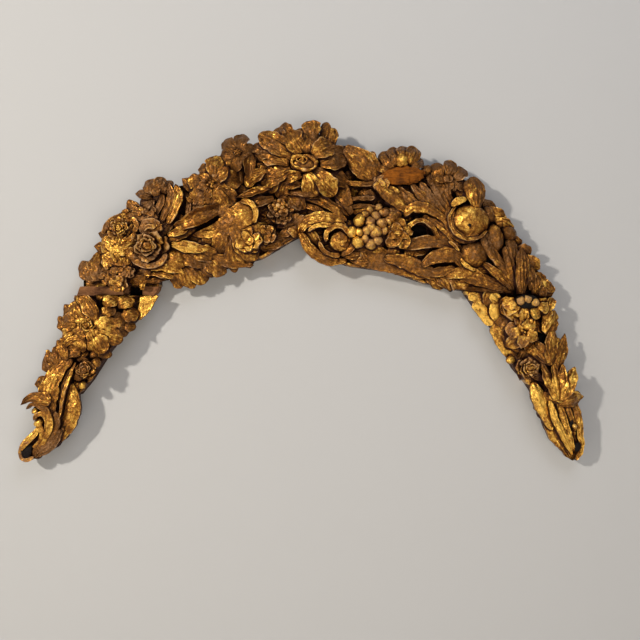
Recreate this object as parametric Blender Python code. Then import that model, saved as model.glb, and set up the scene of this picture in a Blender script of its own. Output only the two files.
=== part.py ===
# Carved wooden garland in the shape of an arch: a crown and two hanging legs.
# The flat back lies in the plane y = 0 and faces +Y, the carving faces -Y, and +Z is up.
# The origin is on the crown's back, just below the middle of the great flower.

import math

import bmesh
import bpy

# Driving dimensions, in metres
overall_width = 1.21
board_thickness = 0.038
joint_gap = 0.0003
lap_height = 0.020
lap_depth = 0.006

# The places and sizes of the carving are given in millimetres for a garland this wide
drawn_width = 1210
mm = overall_width / drawn_width

# Depths of the carving, measured from the wall
foot = board_thickness * 0.4
thinnest = 0.008

# The two joints, each a straight cut across the garland between two places
left_joint = ((-478, -233), (-300, -233))
right_joint = ((322, -240), (540, -258))


# Solids raised from a grid

def carve(surface, across, along):
    """A closed solid: a grid bent to the surface, with walls that run straight back to the foot."""
    solid = bmesh.new()
    bmesh.ops.create_grid(solid, x_segments=across, y_segments=along, size=0.5)
    for vert in solid.verts:
        x, z, height = surface(vert.co.x + 0.5, vert.co.y + 0.5)
        vert.co = (x * mm, -max(height * mm, foot + thinnest), z * mm)
    bmesh.ops.remove_doubles(solid, verts=solid.verts, dist=0.0001)
    raised = bmesh.ops.extrude_face_region(solid, geom=solid.faces[:])
    for vert in raised["geom"]:
        if isinstance(vert, bmesh.types.BMVert):
            vert.co.y = -foot
    bmesh.ops.recalc_face_normals(solid, faces=solid.faces)
    return solid


def face_height(proud):
    """Height above the wall, in drawn millimetres, of a point that stands proud of the board."""
    return board_thickness / mm + proud


def leaf(x, z, turn, length, width, proud, sway=0, belly=0.5, blunt=0.1, rise=0, bend=12, cup=-0.25):
    """A leaf or petal that starts at x, z and heads along turn, in degrees from +X towards +Z."""

    def surface(u, v):
        reach = 0.0
        side = 0.0
        steps = 12
        for step in range(steps):
            heading = math.radians(sway * v * (step + 0.5) / steps)
            reach += length * v / steps * math.cos(heading)
            side += length * v / steps * math.sin(heading)
        if v < belly:
            share = 0.4 + 0.6 * math.sin(math.pi / 2 * v / belly)
        else:
            past = (v - belly) / (1 - belly)
            share = (1 - blunt) * (1 - past ** 1.6) + blunt * math.sqrt(1 - past ** 2)
        across = 2 * u - 1
        half = width / 2 * share
        heading = math.radians(sway * v)
        reach -= across * half * math.sin(heading)
        side += across * half * math.cos(heading)
        height = face_height(proud) + rise * math.sin(math.pi * v) - bend * v ** 2
        height += cup * half * across ** 2
        angle = math.radians(turn)
        east = x + reach * math.cos(angle) - side * math.sin(angle)
        north = z + reach * math.sin(angle) + side * math.cos(angle)
        return east, north, height

    rows = 6 if abs(sway) > 90 else 4 if length > 84 else 3
    return carve(surface, 2, rows)


def disc(x, z, outline, profile, sides, rings):
    """A round boss: the outline gives the radius at an angle, the profile the height at a share of it."""

    def surface(u, v):
        angle = 2 * math.pi * (u % 1.0)
        radius = outline(angle) * v
        height = face_height(profile(v, angle))
        return x + radius * math.cos(angle), z + radius * math.sin(angle), height

    return carve(surface, sides, rings)


def ball(x, z, radius, proud, flat=1.0, tall=1.0):
    """A berry, bud or fruit: a dome, taller than it is wide where tall is over 1."""

    def surface(u, v):
        angle = 2 * math.pi * (u % 1.0)
        reach = radius * math.sin(math.pi / 2 * v)
        drop = radius * flat * (1 - math.cos(math.pi / 2 * v))
        east = x + reach * math.cos(angle)
        north = z + reach * math.sin(angle) * tall
        return east, north, face_height(proud) - drop

    if radius < 16:
        return carve(surface, 6, 2)
    return carve(surface, 7, 3)


def flower(x, z, radius, petals, proud, turn=0, heart=0.3, bend=14):
    """An open flower: petals that rise round a domed heart and bend down at their ends."""
    start = math.radians(turn)

    def outline(angle):
        return radius * (0.82 + 0.18 * math.cos(petals * (angle - start)))

    def profile(share, angle):
        if share < heart * 0.8:
            return proud
        if share < heart * 1.6:
            return proud - radius * 0.22
        lobe = math.cos(petals * (angle - start))
        return proud - bend * share ** 2 + radius * 0.06 * lobe

    return disc(x, z, outline, profile, petals * 2, 4)


def rose(x, z, radius, proud, lobes=5, turn=0):
    """A cabbage rose: a bud in a pit, with round lobed rings of petals about it."""
    start = math.radians(turn)

    def outline(angle):
        return radius * (0.93 + 0.07 * math.cos(lobes * (angle - start)))

    def profile(share, angle):
        if share < 0.1:
            return proud - radius * 0.1
        if share < 0.3:
            return proud
        if share < 0.6:
            return proud - radius * 0.18
        if share < 0.8:
            return proud - radius * 0.1
        return proud - radius * 0.75

    return disc(x, z, outline, profile, lobes * 2, 4)


def stump(x, z, long, high, proud):
    """The torn seat of a lost flower: a flat oval with a shallow dish in it."""

    def outline(angle):
        oval = math.hypot(long / 2 * math.cos(angle), high / 2 * math.sin(angle))
        return oval * (1 + 0.06 * math.cos(5 * angle))

    def profile(share, angle):
        return proud - 4 * (1 - share) - 2 * math.cos(3 * angle) * share

    return disc(x, z, outline, profile, 10, 2)


# The crown, from left to right

def left_shoulder():
    """Leaves and a lumpy flower over the left joint."""
    x, z = -389, -217
    return [
        leaf(x - 50, z - 6, turn=138, length=54, width=34, proud=8, rise=6, bend=26, blunt=0.5),
        leaf(x - 40, z - 4, turn=106, length=64, width=34, proud=16, rise=10, bend=24, blunt=0.5),
        leaf(x - 13, z + 21, turn=150, length=40, width=22, proud=10),
        flower(x, z, 33, 5, proud=34, turn=30),
    ]


def cup_flower():
    """A flower seen from the side: a round cup under upright shell-like petals."""
    x, z = -384, -160
    return [
        ball(x, z, 27, proud=24, flat=0.7),
        ball(x + 17, z - 6, 18, proud=30, flat=0.7),
        leaf(x + 2, z + 23, turn=148, length=50, width=34, proud=26, rise=20, bend=40),
        leaf(x + 8, z + 31, turn=118, length=52, width=36, proud=30, rise=20, bend=44),
        leaf(x + 23, z + 36, turn=78, length=44, width=32, proud=30, rise=24, bend=40),
        leaf(x - 6, z + 15, turn=178, length=44, width=30, proud=24, rise=16, bend=40),
        leaf(x - 16, z + 14, turn=142, length=56, width=24, proud=10),
        leaf(x - 21, z - 12, turn=152, length=46, width=24, proud=8),
    ]


def cabbage_roses():
    """Two full roses, one above the other, with a bud and a leaf beside them."""
    x, z = -321, -152
    return [
        rose(x, z, 37, proud=46),
        rose(x + 13, z + 48, 28, proud=34, turn=40),
        ball(x - 23, z + 69, 14, proud=18),
        leaf(x - 13, z + 54, turn=120, length=62, width=28, proud=14),
    ]


def half_open_tulip():
    """Long petals that rise side by side from one foot, with a crescent petal round them."""
    x, z = -274, -102
    petals = [(137, 104, 18), (117, 104, 24), (97, 104, 26)]
    solids = [leaf(x, z, turn, length, 32, proud, rise=12, bend=26) for turn, length, proud in petals]
    solids.append(leaf(x - 4, z - 2, turn=46, length=92, width=20, proud=26, sway=64))
    return solids


def second_flower():
    """An open flower in two rings of petals, and the dark one over it on its stems."""
    x, z = -189, -21
    return [
        flower(x, z, 52, 8, proud=36, turn=8, bend=22),
        ball(x, z, 22, proud=50, flat=0.7),
        leaf(x - 29, z - 13, turn=142, length=38, width=26, proud=14),
        flower(x + 54, z + 67, 38, 6, proud=28, turn=20, bend=22),
        leaf(x + 54, z + 6, turn=92, length=52, width=20, proud=18),
        leaf(x + 79, z + 15, turn=88, length=48, width=22, proud=34, cup=0.3),
    ]


def long_leaves():
    """Leaves that spread from beside the roses towards the middle and down to the lower edge."""
    x, z = -272, -134
    return [
        leaf(x + 6, z + 21, turn=24, length=116, width=30, proud=24, rise=10),
        leaf(x + 17, z + 31, turn=40, length=84, width=20, proud=18),
        leaf(x - 9, z, turn=22, length=56, width=34, proud=32),
        leaf(x, z - 13, turn=-8, length=70, width=24, proud=30),
        leaf(x - 13, z - 21, turn=-56, length=78, width=52, proud=16, bend=24),
        leaf(x - 4, z - 25, turn=-19, length=84, width=38, proud=20),
        leaf(x - 48, z - 63, turn=22, length=72, width=20, proud=22, sway=-64),
        leaf(x + 8, z - 50, turn=-74, length=48, width=36, proud=10),
        leaf(x + 38, z - 38, turn=-64, length=50, width=36, proud=8),
        leaf(x + 67, z - 33, turn=-42, length=52, width=34, proud=6),
    ]


def acanthus():
    """A broad smooth leaf with a cluster of folded lobes under its end."""
    x, z = -159, -113
    return [
        leaf(x - 65, z - 6, turn=13, length=136, width=58, proud=24, belly=0.62, rise=8, bend=24),
        leaf(x - 8, z + 21, turn=62, length=40, width=34, proud=28),
        leaf(x + 13, z + 4, turn=-56, length=78, width=44, proud=34, belly=0.6, bend=36),
        leaf(x + 42, z + 8, turn=-18, length=60, width=32, proud=26, bend=30),
        leaf(x, z - 4, turn=-112, length=52, width=38, proud=28, bend=30),
        leaf(x + 10, z - 8, turn=-88, length=76, width=32, proud=22, bend=30),
        leaf(x + 50, z - 25, turn=-10, length=58, width=28, proud=14),
        leaf(x - 25, z - 13, turn=-140, length=44, width=28, proud=18),
    ]


def mulberry():
    """A tall bumpy fruit, with blades above it and small leaves at the notch."""
    x, z = -47, -69
    solids = [ball(x, z, 20, proud=28, flat=0.8, tall=1.3)]
    for row, dz in enumerate((-22, -8, 8, 22)):
        count = 2 if row in (0, 3) else 3
        for place in range(count):
            dx = 15 * (place - (count - 1) / 2)
            solids.append(ball(x + dx, z + dz, 9, proud=34 - abs(dx) * 0.3))
    solids += [
        leaf(x - 17, z + 42, turn=197, length=72, width=16, proud=32),
        leaf(x - 13, z + 19, turn=194, length=80, width=22, proud=24),
        leaf(x + 19, z + 25, turn=-38, length=40, width=30, proud=28),
        leaf(x + 42, z - 13, turn=-124, length=46, width=32, proud=22, bend=22),
        leaf(x + 33, z - 48, turn=-159, length=84, width=26, proud=8),
    ]
    return solids


def great_flower():
    """The flower at the middle: a ring of unlike petals about a deep cup."""
    x, z = 4, 20
    petals = [
        (157, 86, 60),
        (144, 92, 34),
        (126, 86, 38),
        (108, 80, 40),
        (84, 86, 44),
        (52, 92, 50),
        (4, 74, 38),
        (-42, 74, 40),
        (-82, 56, 40),
        (-136, 62, 44),
        (-166, 90, 44),
    ]
    solids = []
    for turn, length, width in petals:
        angle = math.radians(turn)
        start = (x + 16 * math.cos(angle), z + 16 * math.sin(angle))
        solids.append(leaf(*start, turn, length, width, proud=44, belly=0.6, rise=8, bend=34))
    solids += [
        ball(x + 40, z + 25, 20, proud=50, flat=0.6),
        flower(x, z, 36, 7, proud=58, turn=10, heart=0.5, bend=8),
        leaf(x - 54, z - 56, turn=-6, length=84, width=26, proud=34, bend=4),
    ]
    return solids


def caves():
    """A broad leaf over dark openings crossed by struts, and a long stem below them."""
    x, z = 132, -21
    return [
        leaf(x + 44, z + 8, turn=150, length=104, width=54, proud=24, rise=8, bend=18),
        leaf(x - 27, z + 52, turn=125, length=38, width=26, proud=22),
        leaf(x + 4, z + 36, turn=107, length=40, width=20, proud=20),
        leaf(x + 27, z + 31, turn=108, length=40, width=20, proud=16),
        leaf(x + 40, z + 2, turn=175, length=86, width=12, proud=18, bend=4),
        leaf(x + 44, z - 32, turn=175, length=74, width=18, proud=18, bend=4),
        leaf(x - 31, z - 42, turn=124, length=58, width=30, proud=20),
        leaf(x - 103, z - 21, turn=-32, length=76, width=15, proud=26),
        leaf(x - 134, z - 29, turn=-26, length=122, width=26, proud=24, sway=-10),
    ]


def volute():
    """A scroll on the lower edge, rolled round a ball, with the band that runs on from it."""
    x, z = 79, -143
    return [
        leaf(x - 16, z + 27, turn=155, length=120, width=30, proud=16, sway=230, bend=4),
        leaf(x - 19, z - 17, turn=112, length=66, width=20, proud=24, sway=-168, bend=4),
        ball(x, z, 13, proud=22),
        leaf(x + 21, z - 16, turn=-18, length=186, width=34, proud=2, bend=0),
        leaf(x + 88, z - 27, turn=-20, length=120, width=40, proud=10),
    ]


def bunch_of_berries():
    """Round berries of several sizes on a raised bed, with a small cup-shaped flower beside them."""
    x, z = 141, -114
    berries = [
        (-23, 17, 11, 44),
        (-38, -8, 9, 40),
        (-23, -29, 11, 38),
        (2, 13, 14, 38),
        (15, -10, 17, 38),
        (-10, -8, 11, 40),
        (4, -33, 15, 30),
        (-8, 31, 9, 30),
        (29, 17, 12, 34),
        (46, 21, 12, 32),
        (31, 38, 11, 30),
    ]
    solids = [ball(x + dx, z + dz, radius, proud) for dx, dz, radius, proud in berries]
    solids.append(ball(x - 4, z, 34, proud=20, flat=0.5))
    cup_x, cup_z = x + 62, z - 10
    for turn, length, width in ((70, 40, 26), (150, 30, 22), (-143, 42, 30), (-70, 44, 30), (10, 36, 24)):
        solids.append(leaf(cup_x, cup_z, turn, length, width, proud=26, rise=10))
    return solids


def broken_flower():
    """The flower at the upper right and, below it, the seat of one that has broken away."""
    x, z = 205, 27
    return [
        flower(x, z, 35, 6, proud=32, bend=22),
        stump(x + 10, z - 31, long=84, high=38, proud=52),
        leaf(x - 17, z - 21, turn=176, length=40, width=24, proud=28),
        leaf(x - 52, z - 50, turn=-46, length=86, width=28, proud=30),
        ball(x - 46, z - 59, 15, proud=32),
    ]


def ribbons():
    """Narrow blades that run together, over two arched bands and a long fold."""
    x, z = 276, -82
    blades = [(147, 90, 22), (134, 82, 26), (120, 74, 28), (109, 64, 22)]
    solids = [leaf(x, z, turn, length, 17, proud) for turn, length, proud in blades]
    solids += [
        leaf(x - 59, z + 6, turn=22, length=98, width=20, proud=26, sway=-52, bend=6),
        leaf(x - 67, z - 21, turn=22, length=106, width=17, proud=20, sway=-62, bend=6),
        leaf(x + 38, z - 67, turn=176, length=108, width=30, proud=12),
        leaf(x + 38, z - 13, turn=112, length=122, width=22, proud=24),
        leaf(x + 44, z - 4, turn=106, length=90, width=15, proud=26),
    ]
    return solids


def upright_pod():
    """The dark flower near the shoulder, and the tall ribbed pod beside it."""
    x, z = 306, -7
    return [
        flower(x, z, 36, 6, proud=28, turn=12, bend=22),
        ball(x - 44, z + 23, 11, proud=18),
        leaf(x + 57, z - 74, turn=91, length=70, width=42, proud=28, blunt=0.3, rise=8),
        leaf(x + 2, z - 65, turn=30, length=36, width=16, proud=40),
    ]


def pomegranate():
    """The largest fruit in the bend of its husk, with smaller fruit beside and below it."""
    x, z = 350, -99
    return [
        ball(x, z, 38, proud=34, flat=0.85),
        leaf(x - 34, z + 30, turn=-110, length=98, width=18, proud=28, sway=108, bend=4),
        ball(x + 56, z - 36, 18, proud=28, tall=1.6),
        ball(x + 90, z - 23, 15, proud=18),
        ball(x + 94, z - 59, 11, proud=12, tall=1.6),
        leaf(x + 56, z - 4, turn=118, length=38, width=26, proud=18),
        ball(x + 10, z - 67, 28, proud=28, flat=0.9),
        leaf(x - 13, z - 77, turn=184, length=86, width=46, proud=16),
        leaf(x - 21, z - 102, turn=206, length=70, width=30, proud=10),
    ]


def right_fan():
    """Leaves that spread like a fan from the right joint."""
    x, z = 442, -244
    blades = [
        (172, 120, 36, 16),
        (158, 110, 26, 18),
        (139, 92, 13, 26),
        (120, 92, 24, 18),
        (101, 100, 20, 22),
        (80, 90, 32, 24),
    ]
    solids = [leaf(x, z, turn, length, width, proud) for turn, length, width, proud in blades]
    solids += [
        leaf(x + 34, z + 8, turn=79, length=56, width=24, proud=14),
        leaf(x + 40, z - 4, turn=73, length=38, width=26, proud=16),
        leaf(x + 63, z - 13, turn=76, length=32, width=20, proud=10),
    ]
    return solids


# The left leg, from the joint down

def left_rose():
    """The leg's great rose, with round petals and fruit about it and leaves at the outer edge."""
    x, z = -450, -313
    bosses = [
        (-21, 27, 23, 26),
        (-38, 2, 18, 22),
        (-38, -31, 15, 18),
        (-13, -42, 13, 26),
        (19, -34, 20, 26),
        (38, -4, 19, 28),
        (40, 25, 14, 28),
        (44, 48, 14, 26),
        (78, 44, 14, 16),
        (84, 19, 14, 16),
        (48, -29, 14, 12),
    ]
    solids = [ball(x + dx, z + dz, radius, proud, flat=0.8) for dx, dz, radius, proud in bosses]
    solids += [
        rose(x, z, 30, proud=38, turn=10),
        leaf(x + 22, z + 2, turn=112, length=58, width=28, proud=34, rise=10, bend=24),
        leaf(x - 8, z + 34, turn=116, length=48, width=26, proud=12),
        leaf(x - 26, z + 8, turn=134, length=42, width=26, proud=8),
        leaf(x - 42, z - 25, turn=124, length=46, width=26, proud=6),
        leaf(x - 2, z - 56, turn=-40, length=34, width=24, proud=6),
        leaf(x - 27, z - 59, turn=-35, length=56, width=26, proud=8),
    ]
    return solids


def left_foliage():
    """The small rose, with an arching leaf and layered leaves at the outer edge."""
    x, z = -499, -421
    return [
        rose(x + 46, z + 15, 25, proud=28, turn=20),
        ball(x + 33, z - 19, 9, proud=10),
        leaf(x - 31, z - 27, turn=163, length=42, width=28, proud=6, blunt=0.6),
        leaf(x + 29, z + 38, turn=-146, length=100, width=40, proud=24, sway=46, belly=0.68),
        leaf(x - 8, z + 23, turn=112, length=60, width=32, proud=14),
        leaf(x - 24, z - 2, turn=114, length=74, width=32, proud=4),
        leaf(x + 2, z + 59, turn=120, length=46, width=28, proud=10),
    ]


def left_tail():
    """A curled leaf that ends the leg, with a hooked leaf over its outer side."""
    x, z = -514, -496
    return [
        leaf(x + 13, z + 47, turn=-92, length=192, width=50, proud=2, sway=-62, belly=0.35, blunt=0.9),
        leaf(x + 20, z + 40, turn=-88, length=90, width=24, proud=12, sway=-32),
        leaf(x + 6, z + 30, turn=160, length=98, width=34, proud=24, sway=62, bend=24),
        leaf(x + 2, z + 8, turn=170, length=80, width=30, proud=14, sway=36),
        leaf(x - 28, z + 2, turn=-106, length=84, width=42, proud=8, blunt=0.4),
        ball(x - 31, z - 15, 11, proud=12),
        ball(x - 77, z - 94, 19, proud=4, flat=0.5),
    ]


# The right leg, from the joint down

def half_rose():
    """A rose that the joint cuts through, so that only its lower petals are on the leg."""
    x, z = 468, -272
    solids = []
    for step in range(7):
        turn = 186 + 28 * step
        angle = math.radians(turn)
        start = (x + 14 * math.cos(angle), z + 6 * math.sin(angle))
        solids.append(leaf(*start, turn, 40, 32, proud=30, rise=10, bend=34))
    for step in range(3):
        solids.append(ball(x + 17 * (step - 1), z + 4, 8, proud=45))
    solids += [
        ball(x, z - 4, 22, proud=24, flat=0.8),
        leaf(x - 67, z + 6, turn=-64, length=46, width=32, proud=6),
        leaf(x + 42, z - 31, turn=74, length=40, width=18, proud=12),
    ]
    return solids


def striped_leaves():
    """The small flower below the rose, and the overlapping leaves under it."""
    x, z = 463, -330
    return [
        flower(x, z, 36, 6, proud=30, turn=15, bend=20),
        leaf(x + 48, z - 2, turn=52, length=38, width=34, proud=14),
        leaf(x + 57, z - 66, turn=84, length=72, width=28, proud=22),
        leaf(x + 72, z - 85, turn=74, length=76, width=28, proud=12),
        leaf(x + 59, z - 69, turn=142, length=68, width=16, proud=18),
        leaf(x + 59, z - 70, turn=126, length=62, width=14, proud=20),
        leaf(x + 7, z - 41, turn=134, length=64, width=36, proud=6),
        ball(x - 16, z - 60, 10, proud=14),
    ]


def right_husk():
    """The small rose, with upright petals beside it above the tail."""
    x, z = 541, -473
    return [
        rose(x - 63, z + 67, 24, proud=26, turn=30),
        leaf(x - 86, z + 92, turn=-80, length=50, width=16, proud=6),
        leaf(x - 4, z, turn=108, length=76, width=24, proud=22),
        leaf(x, z, turn=90, length=70, width=20, proud=24),
        leaf(x + 4, z, turn=66, length=68, width=28, proud=22),
        leaf(x, z - 8, turn=18, length=50, width=30, proud=20, rise=8, bend=24),
    ]


def right_tail():
    """A long pointed leaf that ends the leg, with ribs that run together at its point."""
    x, z = 541, -473
    return [
        leaf(x - 8, z + 25, turn=-74, length=166, width=66, proud=0, belly=0.4, blunt=0.5, bend=10),
        leaf(x - 32, z + 21, turn=-78, length=96, width=24, proud=10, sway=18),
        leaf(x - 19, z + 2, turn=-64, length=118, width=14, proud=16),
        leaf(x - 6, z, turn=-63, length=104, width=14, proud=18),
        leaf(x + 13, z - 4, turn=-62, length=90, width=18, proud=14, sway=-30),
        leaf(x + 34, z - 4, turn=-80, length=142, width=26, proud=6, blunt=0.6),
    ]


# The flat boards, as outlines in drawn millimetres

crown_outline = [
    (-306, -220), (-293, -203), (-218, -194), (-144, -188), (-86, -173), (-27, -137), (1, -122),
    (26, -167), (101, -190), (186, -201), (260, -226), (329, -235), (339, -262),
    (529, -270), (527, -235), (516, -220), (478, -160), (446, -113), (414, -75), (377, -33), (324, 6),
    (250, 18), (175, 29), (118, 48), (75, 61), (48, 93), (-6, 93), (-59, 67), (-123, 57),
    (-186, 27), (-229, -13), (-293, -22), (-342, -50), (-378, -96), (-421, -135), (-440, -182),
    (-469, -215), (-469, -250), (-306, -250),
]

left_outline = [
    (-476, -215), (-306, -215), (-308, -240), (-325, -262), (-338, -286), (-374, -322), (-414, -373),
    (-452, -433), (-478, -465), (-516, -471), (-533, -433), (-529, -379), (-512, -337), (-495, -284),
]

right_outline = [
    (339, -220), (529, -230), (531, -296), (543, -337), (558, -401), (571, -454), (578, -496),
    (522, -507), (501, -475), (480, -441), (452, -409), (433, -369), (414, -333), (386, -296),
    (365, -273),
]


def board(outline):
    """A flat board with the given outline and its back in the plane y = 0."""
    solid = bmesh.new()
    corners = [solid.verts.new((x * mm, 0, z * mm)) for x, z in outline]
    solid.faces.new(corners)
    raised = bmesh.ops.extrude_face_region(solid, geom=solid.faces[:])
    for vert in raised["geom"]:
        if isinstance(vert, bmesh.types.BMVert):
            vert.co.y = -board_thickness
    bmesh.ops.recalc_face_normals(solid, faces=solid.faces)
    return solid


# Assembly

def fresh_collection(name):
    collection = bpy.data.collections.new(name)
    bpy.context.scene.collection.children.link(collection)
    return collection


def add_object(name, solid, collection):
    mesh = bpy.data.meshes.new(name)
    solid.to_mesh(mesh)
    solid.free()
    obj = bpy.data.objects.new(name, mesh)
    collection.objects.link(obj)
    return obj


def add_helper(name, solid, collection):
    helper = add_object(name, solid, collection)
    helper.hide_render = True
    helper.display_type = "WIRE"
    return helper


def gather(solids):
    """Copies many closed solids into one mesh."""
    together = bmesh.new()
    for solid in solids:
        scratch = bpy.data.meshes.new("scratch")
        solid.to_mesh(scratch)
        solid.free()
        together.from_mesh(scratch)
        bpy.data.meshes.remove(scratch)
    return together


def below_joint(joint, gap):
    """A block under a joint's line, moved down by the gap, that takes in all of the leg there."""
    (left, left_z), (right, right_z) = joint
    slope = (right_z - left_z) / (right - left)
    spread = 160
    depth = 3 * board_thickness
    corners = [
        (left, left_z),
        (right + spread, left_z + slope * (right + spread - left)),
        (right + spread, left_z - 400),
        (left - spread, left_z - 400),
        (left - spread, left_z - slope * spread),
    ]
    if left > 0:
        corners = corners[:3] + [(left, left_z - 400)]
    solid = bmesh.new()
    solid.faces.new([solid.verts.new((x * mm, depth, z * mm - gap)) for x, z in corners])
    raised = bmesh.ops.extrude_face_region(solid, geom=solid.faces[:])
    for vert in raised["geom"]:
        if isinstance(vert, bmesh.types.BMVert):
            vert.co.y = -depth * 2
    bmesh.ops.recalc_face_normals(solid, faces=solid.faces)
    return solid


def left_lap():
    """A block over the plain band at the top of the left leg, cut lower than the board's face."""
    (left, left_z), (right, _) = left_joint
    solid = bmesh.new()
    bmesh.ops.create_cube(solid, size=1)
    reach = 3 * board_thickness
    width = (right - left + 120) * mm
    bmesh.ops.scale(solid, verts=solid.verts, vec=(width, reach, 2 * lap_height))
    middle = ((left + right) / 2 * mm, -(board_thickness - lap_depth) - reach / 2, left_z * mm)
    bmesh.ops.translate(solid, verts=solid.verts, vec=middle)
    return solid


def boolean(obj, operation, helper):
    modifier = obj.modifiers.new(helper.name, "BOOLEAN")
    modifier.operation = operation
    modifier.object = helper
    modifier.use_self = operation == "UNION"


def finish(name, colour, roughness):
    material = bpy.data.materials.new(name)
    material.use_nodes = True
    shader = material.node_tree.nodes["Principled BSDF"]
    shader.inputs["Base Color"].default_value = (*colour, 1)
    shader.inputs["Roughness"].default_value = roughness
    shader.inputs["Metallic"].default_value = 0.6
    return material


for obj in list(bpy.data.objects):
    bpy.data.objects.remove(obj)

parts = fresh_collection("carved_garland")
cutters = fresh_collection("cutters")

crown_solids = (
    left_shoulder() + cup_flower() + cabbage_roses() + half_open_tulip() + second_flower()
    + long_leaves() + acanthus() + mulberry() + great_flower() + caves() + volute()
    + bunch_of_berries() + broken_flower() + ribbons() + upright_pod() + pomegranate() + right_fan()
)
left_solids = left_rose() + left_foliage() + left_tail()
right_solids = half_rose() + striped_leaves() + right_husk() + right_tail()

crown = add_object("crown", board(crown_outline), parts)
left_leg = add_object("left_leg", board(left_outline), parts)
right_leg = add_object("right_leg", board(right_outline), parts)

for obj, solids in ((crown, crown_solids), (left_leg, left_solids), (right_leg, right_solids)):
    boolean(obj, "UNION", add_helper(obj.name + "_carving", gather(solids), cutters))

boolean(left_leg, "DIFFERENCE", add_helper("left_lap", left_lap(), cutters))
for leg, joint in ((left_leg, left_joint), (right_leg, right_joint)):
    room = below_joint(joint, -joint_gap / 2)
    boolean(crown, "DIFFERENCE", add_helper(leg.name + "_room", room, cutters))
    reach = below_joint(joint, joint_gap / 2)
    boolean(leg, "INTERSECT", add_helper(leg.name + "_reach", reach, cutters))

for obj in (crown, left_leg, right_leg):
    flat = obj.modifiers.new("flat", "DECIMATE")
    flat.decimate_type = "DISSOLVE"
    flat.angle_limit = math.radians(5)

for obj, colour in (
    (crown, (0.46, 0.28, 0.09)),
    (left_leg, (0.50, 0.31, 0.10)),
    (right_leg, (0.42, 0.25, 0.08)),
):
    obj.data.materials.append(finish(obj.name, colour, 0.45))
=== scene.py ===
# Carved and water-gilded garland, hung flat on a wall.
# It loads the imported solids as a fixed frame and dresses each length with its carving.
import math

import bpy
import numpy as np
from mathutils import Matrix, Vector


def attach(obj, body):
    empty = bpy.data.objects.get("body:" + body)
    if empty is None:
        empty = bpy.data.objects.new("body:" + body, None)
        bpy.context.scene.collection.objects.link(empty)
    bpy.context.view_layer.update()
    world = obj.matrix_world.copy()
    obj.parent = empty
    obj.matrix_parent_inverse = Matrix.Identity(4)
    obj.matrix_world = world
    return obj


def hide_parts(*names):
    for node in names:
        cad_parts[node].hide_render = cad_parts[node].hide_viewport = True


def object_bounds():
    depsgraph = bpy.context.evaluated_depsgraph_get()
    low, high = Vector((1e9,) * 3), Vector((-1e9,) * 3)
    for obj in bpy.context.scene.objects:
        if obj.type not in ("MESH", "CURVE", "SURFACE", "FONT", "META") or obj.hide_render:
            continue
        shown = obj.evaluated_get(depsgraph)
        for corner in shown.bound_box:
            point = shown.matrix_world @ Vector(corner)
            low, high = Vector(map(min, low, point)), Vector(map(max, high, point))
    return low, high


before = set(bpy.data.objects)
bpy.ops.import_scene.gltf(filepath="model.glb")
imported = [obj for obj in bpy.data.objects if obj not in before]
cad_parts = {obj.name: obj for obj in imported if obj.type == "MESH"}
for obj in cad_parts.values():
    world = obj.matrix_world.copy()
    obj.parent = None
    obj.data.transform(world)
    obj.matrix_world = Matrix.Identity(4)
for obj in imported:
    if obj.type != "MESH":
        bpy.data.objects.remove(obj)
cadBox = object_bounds()

# Millimetres as the carving is drawn; they follow the frame's own width
drawnWidth = 1211.7
mm = (cadBox[1][0] - cadBox[0][0]) / drawnWidth
boardFace = 38.0
fuller = 1.08          # leaves are cut this much fuller than drawn, so that they meet
veinedWidth = 24.0     # a leaf wider than this may have side veins
groundHeight = 24.0    # of the sunk ground between the flowers
footBelow = boardFace - groundHeight - 2.0  # below the board's face, where leaves and stems stand
highest = -cadBox[0][1] / mm - 0.5
lowestGap = 2.0  # a petal's underside never comes nearer the wall than this


# Small helpers

shaderNames = {"colour": "Base Color", "roughness": "Roughness", "specular": "Specular IOR Level"}


# settings first, then the inputs, by place or by name: a socket is linked, anything else is a value;
# it gives back the output that is named, or else the first one in use
def addNode(tree, kind, inputs=(), give=None, **settings):
    node = tree.nodes.new(kind)
    for name, value in settings.items():
        setattr(node, name, value)
    for key, value in inputs.items() if isinstance(inputs, dict) else enumerate(inputs):
        if isinstance(key, int):
            socket = node.inputs[key]
        else:
            socket = next(s for s in node.inputs if s.name == key and s.enabled)
        if isinstance(value, bpy.types.NodeSocket):
            tree.links.new(value, socket)
        else:
            socket.default_value = value
    return node.outputs[give] if give else next(s for s in node.outputs if s.enabled)


# a start value and each field by its weight
def weightedSum(tree, weights, fields, start=0.0):
    value = start
    for name, weight in weights.items():
        value = addNode(tree, "ShaderNodeMath", (fields[name], weight, value), operation="MULTIPLY_ADD")
    return value


def newMaterial(name, **values):
    material = bpy.data.materials.new(name)
    material.use_nodes = True
    shader = material.node_tree.nodes["Principled BSDF"]
    for label, value in values.items():
        shader.inputs[shaderNames[label]].default_value = value
    return material, material.node_tree, shader


def linearColour(hexText):
    channels = [int(hexText[i:i + 2], 16) / 255 for i in (1, 3, 5)]
    return tuple(c / 12.92 if c <= 0.04045 else ((c + 0.055) / 1.055) ** 2.4 for c in channels) + (1.0,)


def smoothStep(low, high, value):
    t = np.clip((value - low) / (high - low), 0, 1)
    return t * t * (3 - 2 * t)


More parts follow.
